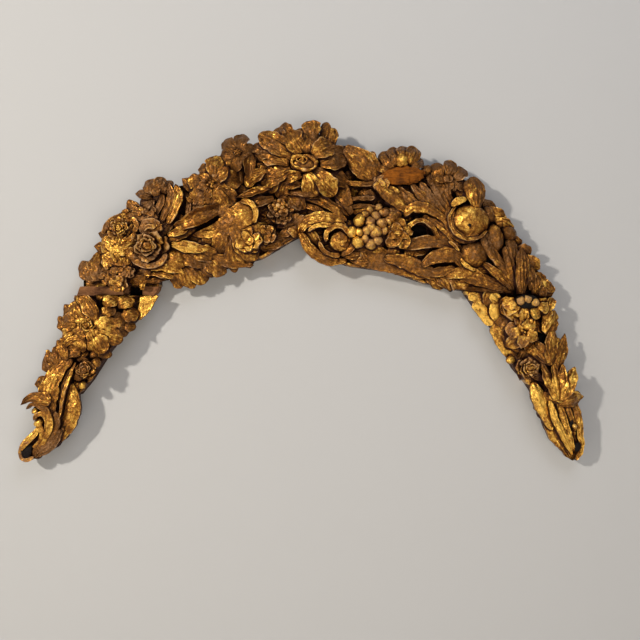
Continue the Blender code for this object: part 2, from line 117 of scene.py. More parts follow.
# a smooth random field between about -1 and 1 on any two coordinates
def grainField(u, v, seed):
    cellU = np.floor(u).astype(np.int64)
    cellV = np.floor(v).astype(np.int64)
    partU = u - cellU
    partV = v - cellV

    def corner(stepU, stepV):
        mixed = (cellU + stepU) * 374761393 + (cellV + stepV) * 668265263 + seed * 69069
        mixed = (mixed ^ (mixed >> 13)) * 1274126177
        angle = ((mixed ^ (mixed >> 16)) & 65535) / 65536 * 2 * math.pi
        return np.cos(angle) * (partU - stepU) + np.sin(angle) * (partV - stepV)

    easeU = partU * partU * (3 - 2 * partU)
    easeV = partV * partV * (3 - 2 * partV)
    low = corner(0, 0) * (1 - easeU) + corner(1, 0) * easeU
    high = corner(0, 1) * (1 - easeU) + corner(1, 1) * easeU
    return 1.5 * (low * (1 - easeV) + high * easeV)


# cuts with soft swells between them: 1 along a wandering line, 0 away from it
def cutLines(u, v, seed, width=0.13):
    return np.exp(-(grainField(u, v, seed) / width) ** 2)


# Camera, wall, floor and light

stageLook = {
    "distance": 1.70,       # from the wall to the camera, metres
    "frameWidth": 1.3933,   # what the picture takes in on the wall, metres
    "sensor": 36.0,         # width of the film, millimetres
    "aim": (0.037, -0.305),
    "aboveAim": 0.1,        # the lights turn about a point this far above the aim
    # name, colour, roughness and corners of each plane
    "planes": (
        ("wall", "#bdc0c4", 0.85, ((-4, 0.0015, -1.1), (4, 0.0015, -1.1), (4, 0.0015, 3), (-4, 0.0015, 3))),
        ("floor", "#dedad4", 0.7, ((-4, -4, -1.1), (4, -4, -1.1), (4, 4, -1.1), (-4, 4, -1.1))),
    ),
    "lights": (
        # name, power, direction it comes from, distance, size, colour
        ("keyLight", 150.0, (-0.66, -0.68, 0.30), 4.6, 0.30, "#fff4e4"),
        ("lowFill", 16.0, (0.25, -0.95, -0.35), 2.4, 1.3, "#fff0de"),
        ("highFill", 22.0, (0.30, -0.80, 0.85), 3.0, 1.8, "#f2f5ff"),
        ("backFill", 14.0, (-0.25, 0.90, 0.35), 2.6, 1.4, "#fff4e4"),  # behind the wall, for the back
    ),
    "worldColour": "#f0e9dd",
    "worldPower": 0.22,
}


def makeStage():
    look = stageLook
    scene = bpy.context.scene
    camera = bpy.data.cameras.new("camera")
    camera.sensor_width = look["sensor"]
    camera.lens = look["sensor"] * look["distance"] / look["frameWidth"]
    cameraObject = bpy.data.objects.new("camera", camera)
    cameraObject.location = (look["aim"][0], -look["distance"], look["aim"][1])
    cameraObject.rotation_euler = (math.pi / 2, 0, 0)
    scene.collection.objects.link(cameraObject)
    scene.camera = cameraObject

    for name, power, direction, away, size, colour in look["lights"]:
        light = bpy.data.lights.new(name, "AREA")
        light.shape = "DISK"
        light.size = size
        light.energy = power
        light.color = linearColour(colour)[:3]
        lamp = bpy.data.objects.new(name, light)
        length = math.sqrt(sum(c * c for c in direction))
        lamp.location = [c / length * away for c in direction]
        lamp.rotation_euler = lamp.location.to_track_quat("Z", "Y").to_euler()
        lamp.location.z += look["aim"][1] + look["aboveAim"]
        scene.collection.objects.link(lamp)

    world = bpy.data.worlds.new("studio")
    world.use_nodes = True
    background = world.node_tree.nodes["Background"]
    background.inputs["Color"].default_value = linearColour(look["worldColour"])
    background.inputs["Strength"].default_value = look["worldPower"]
    scene.world = world
    scene.view_settings.view_transform = "Standard"

    for name, colour, roughness, corners in look["planes"]:
        material, tree, shader = newMaterial(name + "Paint", colour=linearColour(colour),
                                             roughness=roughness)
        if name == "wall":
            showFrontOnly(tree, shader)
        mesh = bpy.data.meshes.new(name)
        mesh.from_pydata(corners, [], [(0, 1, 2, 3)])
        mesh.materials.append(material)
        plane = bpy.data.objects.new(name, mesh)
        scene.collection.objects.link(plane)


# the wall is clear from behind and to shadow rays, so that the flat back is lit and can be looked at
def showFrontOnly(tree, shader):
    clear = addNode(tree, "ShaderNodeBsdfTransparent")
    behind = addNode(tree, "ShaderNodeNewGeometry", give="Backfacing")
    shadow = addNode(tree, "ShaderNodeLightPath", give="Is Shadow Ray")
    either = addNode(tree, "ShaderNodeMath", (behind, shadow), operation="MAXIMUM")
    surface = addNode(tree, "ShaderNodeMixShader", (either, shader.outputs[0], clear))
    tree.links.new(surface, tree.nodes["Material Output"].inputs["Surface"])


makeStage()
print("camera, wall, floor and light are set")


# Materials

giltLook = {
    "burnished": "#f5c45c",
    "noises": {
        # spacing in millimetres, detail, roughness and distortion
        "cloud": (60.0, 2.0, 0.6, 0.0),  # slow changes of tone along the garland
        "rub": (13.0, 3.0, 0.55, 0.6),   # patches where the leaf is rubbed
        "fine": (4.0, 3.0, 0.6, 0.0),
        "brush": (1.3, 3.0, 0.6, 0.0),   # toolmarks and brush lines in the chalk ground
        "bends": (10.0, 2.0, 0.5, 1.4),  # its middle value runs along the small cuts and cracks
    },
    "cutReach": 0.06,   # how far from the middle value a cut still shows
    "paintedShadeShare": -1.3,  # a negative tone is painted shade: black over a deep opening
    # how brown the surface is: low where the leaf is burnished, high where it is toned and dirty;
    # the hollows and creases add painted shade and the ridges take some away as painted highlight
    "shade": {
        "cloud": 0.9, "rub": 1.1, "fine": 0.42, "tone": -0.42, "hollow": 0.8, "crease": 0.5, "ridge": -0.3,
        "cuts": 0.18,
    },
    "shadeStart": -0.445,
    "metalMost": 0.9,
    "roughStart": 0.22,
    "rough": {"fine": 0.16, "dull": 0.36},
    "relief": {"brush": 0.12, "fine": 0.36, "rub": 0.9, "cuts": -0.2},
    "bump": (0.9, 0.0024),
    "specular": 0.22,
}

# What lies over the burnished leaf, from below to above: its colour, the fields that bring it out, the
# range over which it comes in, its strength and how much it dulls the metal
giltLayers = (
    # older leaf gone brown
    {"colour": "#a56c2c", "by": {"shade": 1.0}, "range": (0.18, 0.62)},
    # toned size, where the gold has sunk in
    {"colour": "#64411d", "by": {"shade": 1.0}, "range": (0.42, 0.92), "dulls": 0.3},
    # red clay where the leaf is rubbed through
    {"colour": "#8a4a24", "by": {"rub": 1.0, "ridge": 0.2, "fine": 0.3}, "range": (0.80, 0.98),
     "strength": 0.7, "dulls": 1.0},
    # chalky dust on the rough high places that were left dull
    {"colour": "#a27c57", "by": {"fine": 1.0, "cloud": 0.8, "tone": -0.1, "ridge": 0.35, "dust": 0.22},
     "range": (0.86, 1.30), "strength": 0.55, "moreWith": {"dust": 0.2}, "dulls": 1.0},
    # edges polished by handling, and a pale painted highlight along the ridges
    {"colour": "#d2aa78", "by": {"ridge": 1.15, "fine": 1.3, "hollow": -0.6, "cuts": -0.2},
     "range": (1.08, 1.75), "strength": 0.75, "dulls": 0.9},
    # old dirt and painted shade in the hollows and creases, dirt in the cuts, and painted shade at deep
    # openings
    {"colour": "#2e1109", "by": {"hollow": 1.0, "crease": 0.45, "fine": 0.4, "cuts": 0.18, "paintedOpeningShade": 1.0},
     "range": (0.52, 1.0), "dulls": 1.0},
    # painted shade: the black of a deep opening, from a negative tone
    {"colour": "#0a0302", "by": {"paintedOpeningShade": 1.0}, "range": (0.0, 1.0), "ramp": "LINEAR"},
)
layerLook = {"strength": 1.0, "moreWith": {}, "dulls": 0.0, "ramp": "SMOOTHSTEP"}


# noise fields on the object's own coordinates
def noiseFields(tree, noises, coords):
    return {
        name: addNode(tree, "ShaderNodeTexNoise", {
            "Vector": coords, "Scale": 1000 / sizeMm, "Detail": detail, "Roughness": roughness,
            "Distortion": bend,
        })
        for name, (sizeMm, detail, roughness, bend) in noises.items()
    }


# gold leaf on red clay and chalk over carved wood: warm mirror-like highs, rubbed to clay on
# the ridges with a pale painted highlight, toned brown between, near black with old dirt and painted shade
# in the hollows and creases, and painted black over deep openings
def makeWaterGilding():
    look = giltLook
    material, tree, shader = newMaterial("wornWaterGilding", specular=look["specular"])
    fields = noiseFields(tree, look["noises"], addNode(tree, "ShaderNodeTexCoord", give="Object"))
    for name in ("hollow", "ridge", "crease", "tone", "dust"):
        fields[name] = addNode(tree, "ShaderNodeAttribute", give="Fac", attribute_name=name)
    offLine = addNode(tree, "ShaderNodeMath", (fields["bends"], 0.5), operation="SUBTRACT")
    offLine = addNode(tree, "ShaderNodeMath", (offLine,), operation="ABSOLUTE")
    fields["cuts"] = addNode(tree, "ShaderNodeMapRange", (offLine, 0.0, look["cutReach"], 1.0, 0.0),
                             interpolation_type="SMOOTHSTEP")
    # painted shade of deep openings: a negative tone turned into a black share
    paintedOpeningShade = addNode(tree, "ShaderNodeMath", (fields["tone"], look["paintedShadeShare"]), operation="MULTIPLY")
    fields["paintedOpeningShade"] = addNode(tree, "ShaderNodeMath", (paintedOpeningShade, 0.0), operation="MAXIMUM")
    fields["shade"] = weightedSum(tree, look["shade"], fields, look["shadeStart"])

    colour = linearColour(look["burnished"])
    dull = 0.0
    for layer in giltLayers:
        layer = {**layerLook, **layer}
        amount = weightedSum(tree, layer["by"], fields)
        share = addNode(tree, "ShaderNodeMapRange", (amount, *layer["range"], 0.0, 1.0),
                        interpolation_type=layer["ramp"])
        strength = weightedSum(tree, layer["moreWith"], fields, layer["strength"])
        share = addNode(tree, "ShaderNodeMath", (share, strength), operation="MULTIPLY")
        colour = addNode(tree, "ShaderNodeMix", {
            "Factor": share, "A": colour, "B": linearColour(layer["colour"]),
        }, data_type="RGBA")
        duller = addNode(tree, "ShaderNodeMath", (share, layer["dulls"]), operation="MULTIPLY")
        dull = addNode(tree, "ShaderNodeMath", (dull, duller), operation="MAXIMUM")
    fields["dull"] = dull
    metal = addNode(tree, "ShaderNodeMath", (dull, -look["metalMost"], look["metalMost"]),
                    operation="MULTIPLY_ADD", use_clamp=True)
    strength, distance = look["bump"]
    relief = weightedSum(tree, look["relief"], fields)
    bump = addNode(tree, "ShaderNodeBump", {"Strength": strength, "Distance": distance, "Height": relief})
    rough = weightedSum(tree, look["rough"], fields, look["roughStart"])
    for label, socket in (
        ("Base Color", colour), ("Metallic", metal), ("Roughness", rough), ("Normal", bump),
    ):
        tree.links.new(socket, shader.inputs[label])
    return material


woodLook = {
    "grain": (3.2, 5.0, 0.6, 0.3),      # year rings: spacing, detail, roughness, distortion
    "stretch": (0.12, 1.0, 1.0),        # the grain runs along the board
    "blotchDetail": 3.0,
    "weights": {"grain": 0.55, "blotch": 0.7},
    "range": (0.35, 0.85),
    "roughness": 0.85,
    "specular": 0.2,
    "bump": (0.4, 0.0008),
}


# sawn and split limewood gone brown: fine long grain, matt
def makeOldWood(name, light, dark, blotchMm):
    look = woodLook
    material, tree, shader = newMaterial(name, roughness=look["roughness"], specular=look["specular"])
    coords = addNode(tree, "ShaderNodeTexCoord", give="Object")
    long = addNode(tree, "ShaderNodeMapping", {"Vector": coords, "Scale": look["stretch"]})
    fields = noiseFields(tree, {"grain": look["grain"]}, long)
    fields.update(noiseFields(tree, {"blotch": (blotchMm, look["blotchDetail"], 0.6, 0.0)}, coords))
    amount = weightedSum(tree, look["weights"], fields)
    share = addNode(tree, "ShaderNodeMapRange", (amount, *look["range"], 0.0, 1.0),
                    interpolation_type="SMOOTHSTEP")
    colour = addNode(tree, "ShaderNodeMix", {
        "Factor": share, "A": linearColour(dark), "B": linearColour(light),
    }, data_type="RGBA")
    strength, distance = look["bump"]
    relief = fields["grain"]
    bump = addNode(tree, "ShaderNodeBump", {"Strength": strength, "Distance": distance, "Height": relief})
    tree.links.new(colour, shader.inputs["Base Color"])
    tree.links.new(bump, shader.inputs["Normal"])
    return material


gilding = makeWaterGilding()
backWood = makeOldWood("sawnBackWood", "#8c6a45", "#4a3220", 90.0)
brokenWood = makeOldWood("brokenWoodWithClay", "#96560f", "#2e1504", 20.0)
lapWood = makeOldWood("lapWood", "#9c6c46", "#321509", 22.0)
print("materials are made")


# Closed shells, as arrays: places, corners of the faces and how many corners each face has

# the points of a shell from its three coordinates, which may be rows, columns or single numbers
def placesOf(*coordinates):
    return np.stack(np.broadcast_arrays(*coordinates), axis=-1)


def roundTurn(count):
    return 2 * math.pi * np.arange(count) / count


# from edge to edge over the top and back below it, -1 to 1, and which of those points are on top
def acrossShell(width, fewest):
    tops = int(np.clip(width / 1.5, fewest, 34))
    unders = max(4, tops // 5)
    across = np.concatenate([np.linspace(-1, 1, tops + 1), np.linspace(1, -1, unders + 1)])
    return across[None, :], np.arange(len(across))[None, :] <= tops


# a closed shell from rings of points, capped at both ends
def tube(loops):
    rows, around, _ = loops.shape
    places = loops.reshape(-1, 3)
    row = np.arange(rows - 1)[:, None] * around
    col = np.arange(around)[None, :]
    nextCol = (col + 1) % around
    quads = np.stack([row + col, row + nextCol, row + around + nextCol, row + around + col],
                     axis=-1).reshape(-1, 4)
    first = np.arange(around)[::-1]
    last = (rows - 1) * around + np.arange(around)
    corners = np.concatenate([quads.ravel(), first, last])
    totals = np.concatenate([np.full(len(quads), 4), [around, around]])
    a, b, c, d = (places[quads[:, k]] for k in range(4))
    volume = np.einsum("ij,ij->i", a, np.cross(b, c)).sum() + np.einsum("ij,ij->i", a, np.cross(c, d)).sum()
    if volume < 0:
        places = loops[::-1].reshape(-1, 3)
    return places, corners, totals


leafLook = {
    "sway": 0.0,       # turn of the midline from foot to tip, degrees
    "belly": 0.5,      # where the leaf is widest, as a share of its length
    "blunt": 0.15,     # 0 for a pointed tip, 1 for a round one
    "rise": 4.0,
    "bend": 12.0,
    "cup": -0.3,       # edges lower than the middle when negative
    "thick": 8.0,
    "edge": 2.6,
    "ribs": 3,
    "gouge": 1.5,      # depth of the cuts that run along the leaf
    "cuts": 1.5,       # depth of the fine wandering cuts
    "cutMm": 5.0,      # how far apart the fine cuts lie
    "rim": 1.4,        # how far the turned edge stands above the hollow beside it
    "sideVeins": 0,
    "wave": 2.0,
    "roll": 0.0,       # how far one edge stands above the other
}


def leafShell(length, width, root=0.0, seed=1, **changes):
    look = dict(leafLook, **changes)
    rng = np.random.default_rng(seed)
    rows = int(np.clip(length / 2.6, 12, 60))
    across, onTop = acrossShell(width, 10)
    v = (1 - (1 - np.linspace(0, 1, rows)) ** 1.35) * 0.997
    step = np.diff(v, prepend=0)
    heading = math.radians(look["sway"]) * (v - step / 2)
    reach = np.cumsum(step * length * np.cos(heading))[:, None]
    side = np.cumsum(step * length * np.sin(heading))[:, None]
    heading = (math.radians(look["sway"]) * v)[:, None]
    belly = look["belly"]
    past = np.clip((v - belly) / (1 - belly), 0, 1)
    share = np.where(
        v < belly,
        0.4 + 0.6 * np.sin(math.pi / 2 * np.minimum(v / belly, 1)),
        (1 - look["blunt"]) * (1 - past ** 1.6) + look["blunt"] * np.sqrt(1 - past ** 2),
    )
    wobble = 1 + 0.06 * np.sin(2 * math.pi * (2.3 * v + rng.random()))
    half = (width / 2 * share * wobble)[:, None]
    v = v[:, None]
    ragged = grainField(v * length / 9.0 + 40 * (across > 0), np.full_like(across, 0.5), seed)
    half = half * (1 + 0.10 * ragged * np.abs(across) ** 2)
    height = look["rise"] * np.sin(math.pi * v) - look["bend"] * v ** 2 + look["cup"] * half * across ** 2
    height = height + look["roll"] * across * half / max(width / 2, 1)
    ripple = np.sin(2 * math.pi * ((1.4 + rng.random()) * v + rng.random() + 0.3 * (across > 0)))
    height = height + look["wave"] * np.abs(across) ** 3 * ripple * smoothStep(0.0, 0.3, v)
    fade = np.sin(math.pi * np.clip(v, 0.03, 0.97)) ** 0.5
    cut = (across * 0.5 + 0.5) * look["ribs"] + 0.12 * np.sin(4 * v + 6 * rng.random())
    cut = cut - np.floor(cut)
    flutes = look["gouge"] * (1 - (2 * cut - 1) ** 2) * fade
    if look["sideVeins"]:
        vein = look["sideVeins"] * (v - 0.4 * np.abs(across) * width / length)
        vein = vein - np.floor(vein)
        flutes = flutes + 0.8 * look["gouge"] * (1 - (2 * vein - 1) ** 2) * np.abs(across) ** 0.5 * fade
    alongMm = v * length
    sideMm = across * half
    lines = cutLines(alongMm / (3.6 * look["cutMm"]), sideMm / look["cutMm"], seed)
    flutes = flutes + look["cuts"] * lines * fade
    flutes = flutes + 0.9 * grainField(alongMm / 11.0, sideMm / 8.0, seed + 9)
    outward = np.maximum(np.abs(across), smoothStep(0.7, 1.0, v) * 0.98)
    turned = smoothStep(0.55, 0.86, outward) * smoothStep(0.1, 0.35, v)
    depth = look["edge"] + (look["thick"] - look["edge"]) * (1 - across ** 2)
    depth = depth + root * (1 - smoothStep(0.05, 0.5, v)) * (1 - 0.6 * across ** 2)
    height = height + look["rim"] * turned
    height = np.where(onTop, height - flutes, height - depth)
    along = reach - across * half * np.sin(heading)
    sideways = side + across * half * np.cos(heading)
    return tube(placesOf(along, sideways, height))


strandLook = {
    "ribs": 2,
    "gouge": 1.2,
    "cup": -0.35,
    "edge": 3.0,
    "thick": 9.0,
    "root": 0.6,       # how much of the height below the strand is solid
    "cuts": 1.1,
    "cutMm": 5.0,
    "rim": 0.8,
    "round": 0.10,     # length of the rounded ends, as a share of the whole
}


# a band that follows a drawn line; each point gives place, width and how far it stands proud
def strandShell(points, seed=1, **changes):
    look = dict(strandLook, **changes)
    points = np.array(points, dtype=float)
    run = np.concatenate([[0], np.cumsum(np.hypot(*np.diff(points[:, :2], axis=0).T))])
    slopes = np.gradient(points, run, axis=0)
    rows = int(np.clip(run[-1] / 2.6, 12, 90))
    at = np.linspace(0, run[-1], rows)
    k = np.clip(np.searchsorted(run, at, side="right") - 1, 0, len(run) - 2)
    span = (run[k + 1] - run[k])[:, None]
    t = (at - run[k])[:, None] / span
    line = (
        points[k] * (2 * t ** 3 - 3 * t ** 2 + 1) + slopes[k] * span * (t ** 3 - 2 * t ** 2 + t)
        + points[k + 1] * (3 * t ** 2 - 2 * t ** 3) + slopes[k + 1] * span * (t ** 3 - t ** 2)
    )
    east, north, width, proud = (line[:, c:c + 1] for c in range(4))
    heading = np.arctan2(np.gradient(north[:, 0]), np.gradient(east[:, 0]))[:, None]
    v = (at / run[-1])[:, None]
    nearEnd = np.clip(np.minimum(v, 1 - v) / look["round"], 0.004, 1)
    half = np.maximum(width, 2.0) / 2 * np.sqrt(1 - (1 - nearEnd) ** 2)
    across, onTop = acrossShell(width.max(), 8)
    sideMm = across * half
    alongMm = v * run[-1]
    ragged = grainField(alongMm / 9.0 + 40 * (across > 0), np.full_like(across, 0.5), seed)
    half = half * (1 + 0.09 * ragged * across ** 2)
    cut = (across * 0.5 + 0.5) * look["ribs"] + 0.08 * np.sin(5 * v + seed)
    cut = cut - np.floor(cut)
    lines = cutLines(alongMm / (4 * look["cutMm"]), sideMm / look["cutMm"], seed)
    dip = look["gouge"] * (1 - (2 * cut - 1) ** 2) + look["cuts"] * lines
    dip = dip + 0.8 * grainField(alongMm / 12.0, sideMm / 8.0, seed + 9)
    height = proud + look["cup"] * half * across ** 2 + look["rim"] * smoothStep(0.55, 0.86, np.abs(across))
    solid = look["root"] * np.maximum(proud + footBelow, 4.0)
    depth = look["edge"] + (look["thick"] - look["edge"]) * (1 - across ** 2)
    depth = depth + solid * (1 - 0.4 * across ** 2)
    height = np.where(onTop, height - dip, height - depth)
    along = east - across * half * np.sin(heading)
    sideways = north + across * half * np.cos(heading)
    return tube(placesOf(along, sideways, height))


def ballShell(radius, flat=1.0, tall=1.0, grooves=0, navel=0.0, rough=1.0, seed=1):
    rng = np.random.default_rng(seed)
    rows = int(np.clip(radius * 1.1, 10, 30))
    around = int(np.clip(radius * 2.0, 16, 56))
    down = np.linspace(0.03, math.pi - 0.03, rows)[:, None]
    turn = roundTurn(around)[None, :]
    eastMm = radius * down * np.cos(turn)
    northMm = radius * down * np.sin(turn)
    size = radius * (1 + 0.03 * np.sin(2 * turn + 6 * rng.random()) * np.sin(down))
    size = size + rough * 0.9 * grainField(eastMm / 8.0, northMm / 8.0, seed)
    size = size - rough * 1.3 * cutLines(eastMm / 7.0, northMm / 5.0, seed + 3) * np.sin(down)
    if grooves:
        cut = grooves * turn / (2 * math.pi) + 0.25 * np.sin(down * 2 + rng.random()) + rng.random()
        cut = cut - np.floor(cut)
        size = size * (1 - 0.10 * np.exp(-((cut - 0.5) / 0.16) ** 2) * np.sin(down))
    along = size * np.sin(down) * np.cos(turn)
    sideways = size * np.sin(down) * np.sin(turn) * tall
    height = size * flat * np.cos(down) - radius * flat
    height = height - navel * np.exp(-(down / 0.28) ** 2)
    return tube(placesOf(along, sideways, height))


# an oval raised rim, closed on itself
def hoopShell(wide, tall, thick, high):
    around = 48
    section = 12
    turn = roundTurn(around)[:, None]
    roll = roundTurn(section)[None, :]
    out = thick / 2 * np.cos(roll) * (1 + 0.25 * np.sin(3 * turn))
    lift = np.where(np.sin(roll) > 0, thick * 0.6, high) * np.sin(roll)
    east = (wide + out) * np.cos(turn)
    north = (tall + out) * np.sin(turn)
    places = placesOf(east, north, lift - thick * 0.6).reshape(-1, 3)
    row = np.arange(around)[:, None] * section
    nextRow = (np.arange(around)[:, None] + 1) % around * section
    col = np.arange(section)[None, :]
    nextCol = (col + 1) % section
    quads = np.stack([row + col, nextRow + col, nextRow + nextCol, row + nextCol], axis=-1).reshape(-1, 4)
    return places, quads.ravel(), np.full(len(quads), 4)


bloomLook = {
    "petals": 17,
    "spread": 1.25,     # a petal's length as a share of the room it has
    "lift": 0.20,       # how far a petal stands up, as a share of the bloom's radius
    "dome": 0.45,
    "swirl": 0.4,       # turn of the petals from straight outward, radians
    "stretch": 1.0,
}


# a full-petalled bloom cut as one dome: petals lie over each other like scales, rims outward
def bloomShell(radius, seed=1, **changes):
    look = dict(bloomLook, **changes)
    rng = np.random.default_rng(seed)
    rows = int(np.clip(radius * 1.15, 20, 54))
    around = int(np.clip(radius * 2.6, 36, 110))
    out = np.linspace(0.02, 1, rows)[:, None]
    turn = roundTurn(around)[None, :]
    lobed = 1 + 0.07 * np.sin(5 * turn + 6 * rng.random()) + 0.05 * np.sin(8 * turn + 6 * rng.random())
    east = radius * out * np.cos(turn) * lobed
    north = radius * out * np.sin(turn) * lobed * look["stretch"]
    count = look["petals"]
    room = 1.9 * radius / math.sqrt(count)
    height = np.full(east.shape, -radius * look["dome"] * 1.1)
    for index in range(count):
        far = math.sqrt((index + 0.3) / count) * 0.86
        angle = index * 2.39996 + 0.35 * rng.standard_normal()  # about the golden angle
        centreX = radius * far * math.cos(angle)
        centreY = radius * far * math.sin(angle) * look["stretch"]
        heading = angle + look["swirl"] * (1 if index % 2 else -1) * rng.random()
        alongPetal = (east - centreX) * math.cos(heading) + (north - centreY) * math.sin(heading)
        acrossPetal = -(east - centreX) * math.sin(heading) + (north - centreY) * math.cos(heading)
        long = room * look["spread"] * 0.5 * (0.8 + 0.4 * rng.random()) * (0.7 + 0.5 * far)
        wide = room * 0.55 * (0.8 + 0.4 * rng.random()) * (0.7 + 0.4 * far)
        u = alongPetal / long
        w = acrossPetal / wide
        inside = 1 - (u * u + np.abs(w) ** 2.4)
        base = radius * look["dome"] * (math.sqrt(1.0 - 0.9 * far * far) - 1)
        rise = radius * look["lift"] * (0.8 + 0.4 * rng.random())
        petal = base + rise * (0.35 + 0.5 * u - 0.35 * (1 - w * w)) * np.clip(inside * 4, 0, 1) ** 0.5
        height = np.where(inside > 0, np.maximum(height, petal), height)
    height = height - 0.8 * cutLines(east / 6.0, north / 6.0, seed + 2)
    height = height + 0.7 * grainField(east / 7.0, north / 7.0, seed)
    top = placesOf(east, north, height)
    drop = radius * look["dome"] * 1.1 + 10.0
    under = np.stack([top[-1, :, 0] * 0.96, top[-1, :, 1] * 0.96, np.full(around, -drop)], axis=-1)
    bottom = np.stack([under[:, 0] * 0.05, under[:, 1] * 0.05, under[:, 2]], axis=-1)
    return tube(np.concatenate([top, under[None], bottom[None]]))


# one petal of a rose: a curved wall that leans out, highest at its middle, with a turned rim
def wrapPetal(foot, rim, arc, high, thick=3.2, seed=1):
    rng = np.random.default_rng(seed)
    rows = 18
    t = np.linspace(0, 1, rows)[:, None]
    up = np.linspace(0, 1, 9)
    v = np.concatenate([up, up[::-1]])[None, :]
    outer = np.concatenate([np.ones(9), -np.ones(9)])[None, :]
    angle = math.radians(arc) * (t - 0.5) * (1 - 0.25 * (1 - v))
    crest = 1 - 0.5 * np.abs(2 * t - 1) ** 2.4
    for swell, waves in ((0.10, 1.7), (0.06, 4.3)):
        crest = crest + swell * np.sin(2 * math.pi * (waves * t + rng.random()))
    wave = 0.05 * rim * np.sin(2 * math.pi * (2.2 * t + rng.random())) * v ** 2
    radius = foot + (rim - foot) * v ** 1.4 * crest + wave + outer * thick / 2 * (1 - 0.45 * v ** 4)
    height = -high + high * crest * v ** 0.8 - 0.10 * high * smoothStep(0.8, 1.0, v) * (outer > 0)
    streaks = cutLines(t * 9.0, v * 1.6, seed, 0.2) * 0.9 + 0.7 * grainField(t * 5.0, v * 2.0, seed + 5)
    height = height - streaks * v * (1 - 0.5 * v)
    loops = placesOf(radius * np.cos(angle), radius * np.sin(angle), height)
    return tube(loops)


# the wrapped heart of a rose: a dome with a spiral fold
def budShell(radius, turns=2.4, dome=0.7, seed=1):
    rows = 16
    around = 36
    down = np.linspace(0.03, math.pi - 0.03, rows * 2)[:, None]
    turn = roundTurn(around)[None, :]
    out = np.sin(down)
    fold = turns * np.minimum(down / (math.pi / 2), 1) - turn / (2 * math.pi) + seed * 0.3
    fold = fold - np.floor(fold)
    lift = radius * 0.16 * (fold ** 2) * (down < math.pi / 2)
    along = radius * out * np.cos(turn)
    sideways = radius * out * np.sin(turn)
    height = radius * dome * (np.cos(down) - 1) + lift
    return tube(placesOf(along, sideways, height))


# Geometry Nodes for what repeats: rings of petals, bunches of berries and seed heads

def newTree(name, sockets):
    tree = bpy.data.node_groups.new(name, "GeometryNodeTree")
    for label, kind in sockets:
        tree.interface.new_socket(label, in_out="INPUT", socket_type=kind)
    tree.interface.new_socket("Geometry", in_out="OUTPUT", socket_type="NodeSocketGeometry")
    return tree, tree.nodes.new("NodeGroupInput").outputs, tree.nodes.new("NodeGroupOutput").inputs


# makes the copies real, gives them their material and hands them out
def finishTree(tree, copies, given, result):
    real = addNode(tree, "GeometryNodeRealizeInstances", {"Geometry": copies})
    done = addNode(tree, "GeometryNodeSetMaterial", {"Geometry": real, "Material": given["Material"]})
    tree.links.new(done, result["Geometry"])


# one petal set round a circle, each a little unlike its neighbours
def makePetalRingTree():
    tree, given, result = newTree("petalRing", [
        ("Geometry", "NodeSocketGeometry"), ("Petal", "NodeSocketObject"), ("Count", "NodeSocketInt"),
        ("Radius", "NodeSocketFloat"), ("Tilt", "NodeSocketFloat"), ("Unevenness", "NodeSocketFloat"),
        ("Seed", "NodeSocketInt"), ("Material", "NodeSocketMaterial"),
    ])
    circle = addNode(tree, "GeometryNodeMeshCircle",
                     {"Vertices": given["Count"], "Radius": given["Radius"]})
    share = addNode(tree, "ShaderNodeMath", (addNode(tree, "GeometryNodeInputIndex"), given["Count"]),
                    operation="DIVIDE")
    angle = addNode(tree, "ShaderNodeMath", (share, 2 * math.pi), operation="MULTIPLY")
    rolls = []
    for offset in (0.0, 7.0, 13.0):
        seed = addNode(tree, "ShaderNodeMath", (given["Seed"], offset), operation="ADD")
        roll = addNode(tree, "FunctionNodeRandomValue", {"Min": -1.0, "Max": 1.0, "Seed": seed},
                       data_type="FLOAT")
        rolls.append(addNode(tree, "ShaderNodeMath", (roll, given["Unevenness"]), operation="MULTIPLY"))
    swing = addNode(tree, "ShaderNodeMath", (rolls[0], 0.5, angle), operation="MULTIPLY_ADD")
    tilt = addNode(tree, "ShaderNodeMath", (rolls[1], 0.6, given["Tilt"]), operation="MULTIPLY_ADD")
    lift = addNode(tree, "ShaderNodeMath", (tilt, -1.0), operation="MULTIPLY")
    size = addNode(tree, "ShaderNodeMath", (rolls[2], 1.0), operation="ADD")
    turn = addNode(tree, "ShaderNodeCombineXYZ", {"Y": lift, "Z": swing})
    source = addNode(tree, "GeometryNodeObjectInfo", {"Object": given["Petal"]}, give="Geometry")
    ring = addNode(tree, "GeometryNodeInstanceOnPoints", {
        "Points": circle, "Instance": source, "Rotation": turn, "Scale": size,
    })
    finishTree(tree, ring, given, result)
    return tree


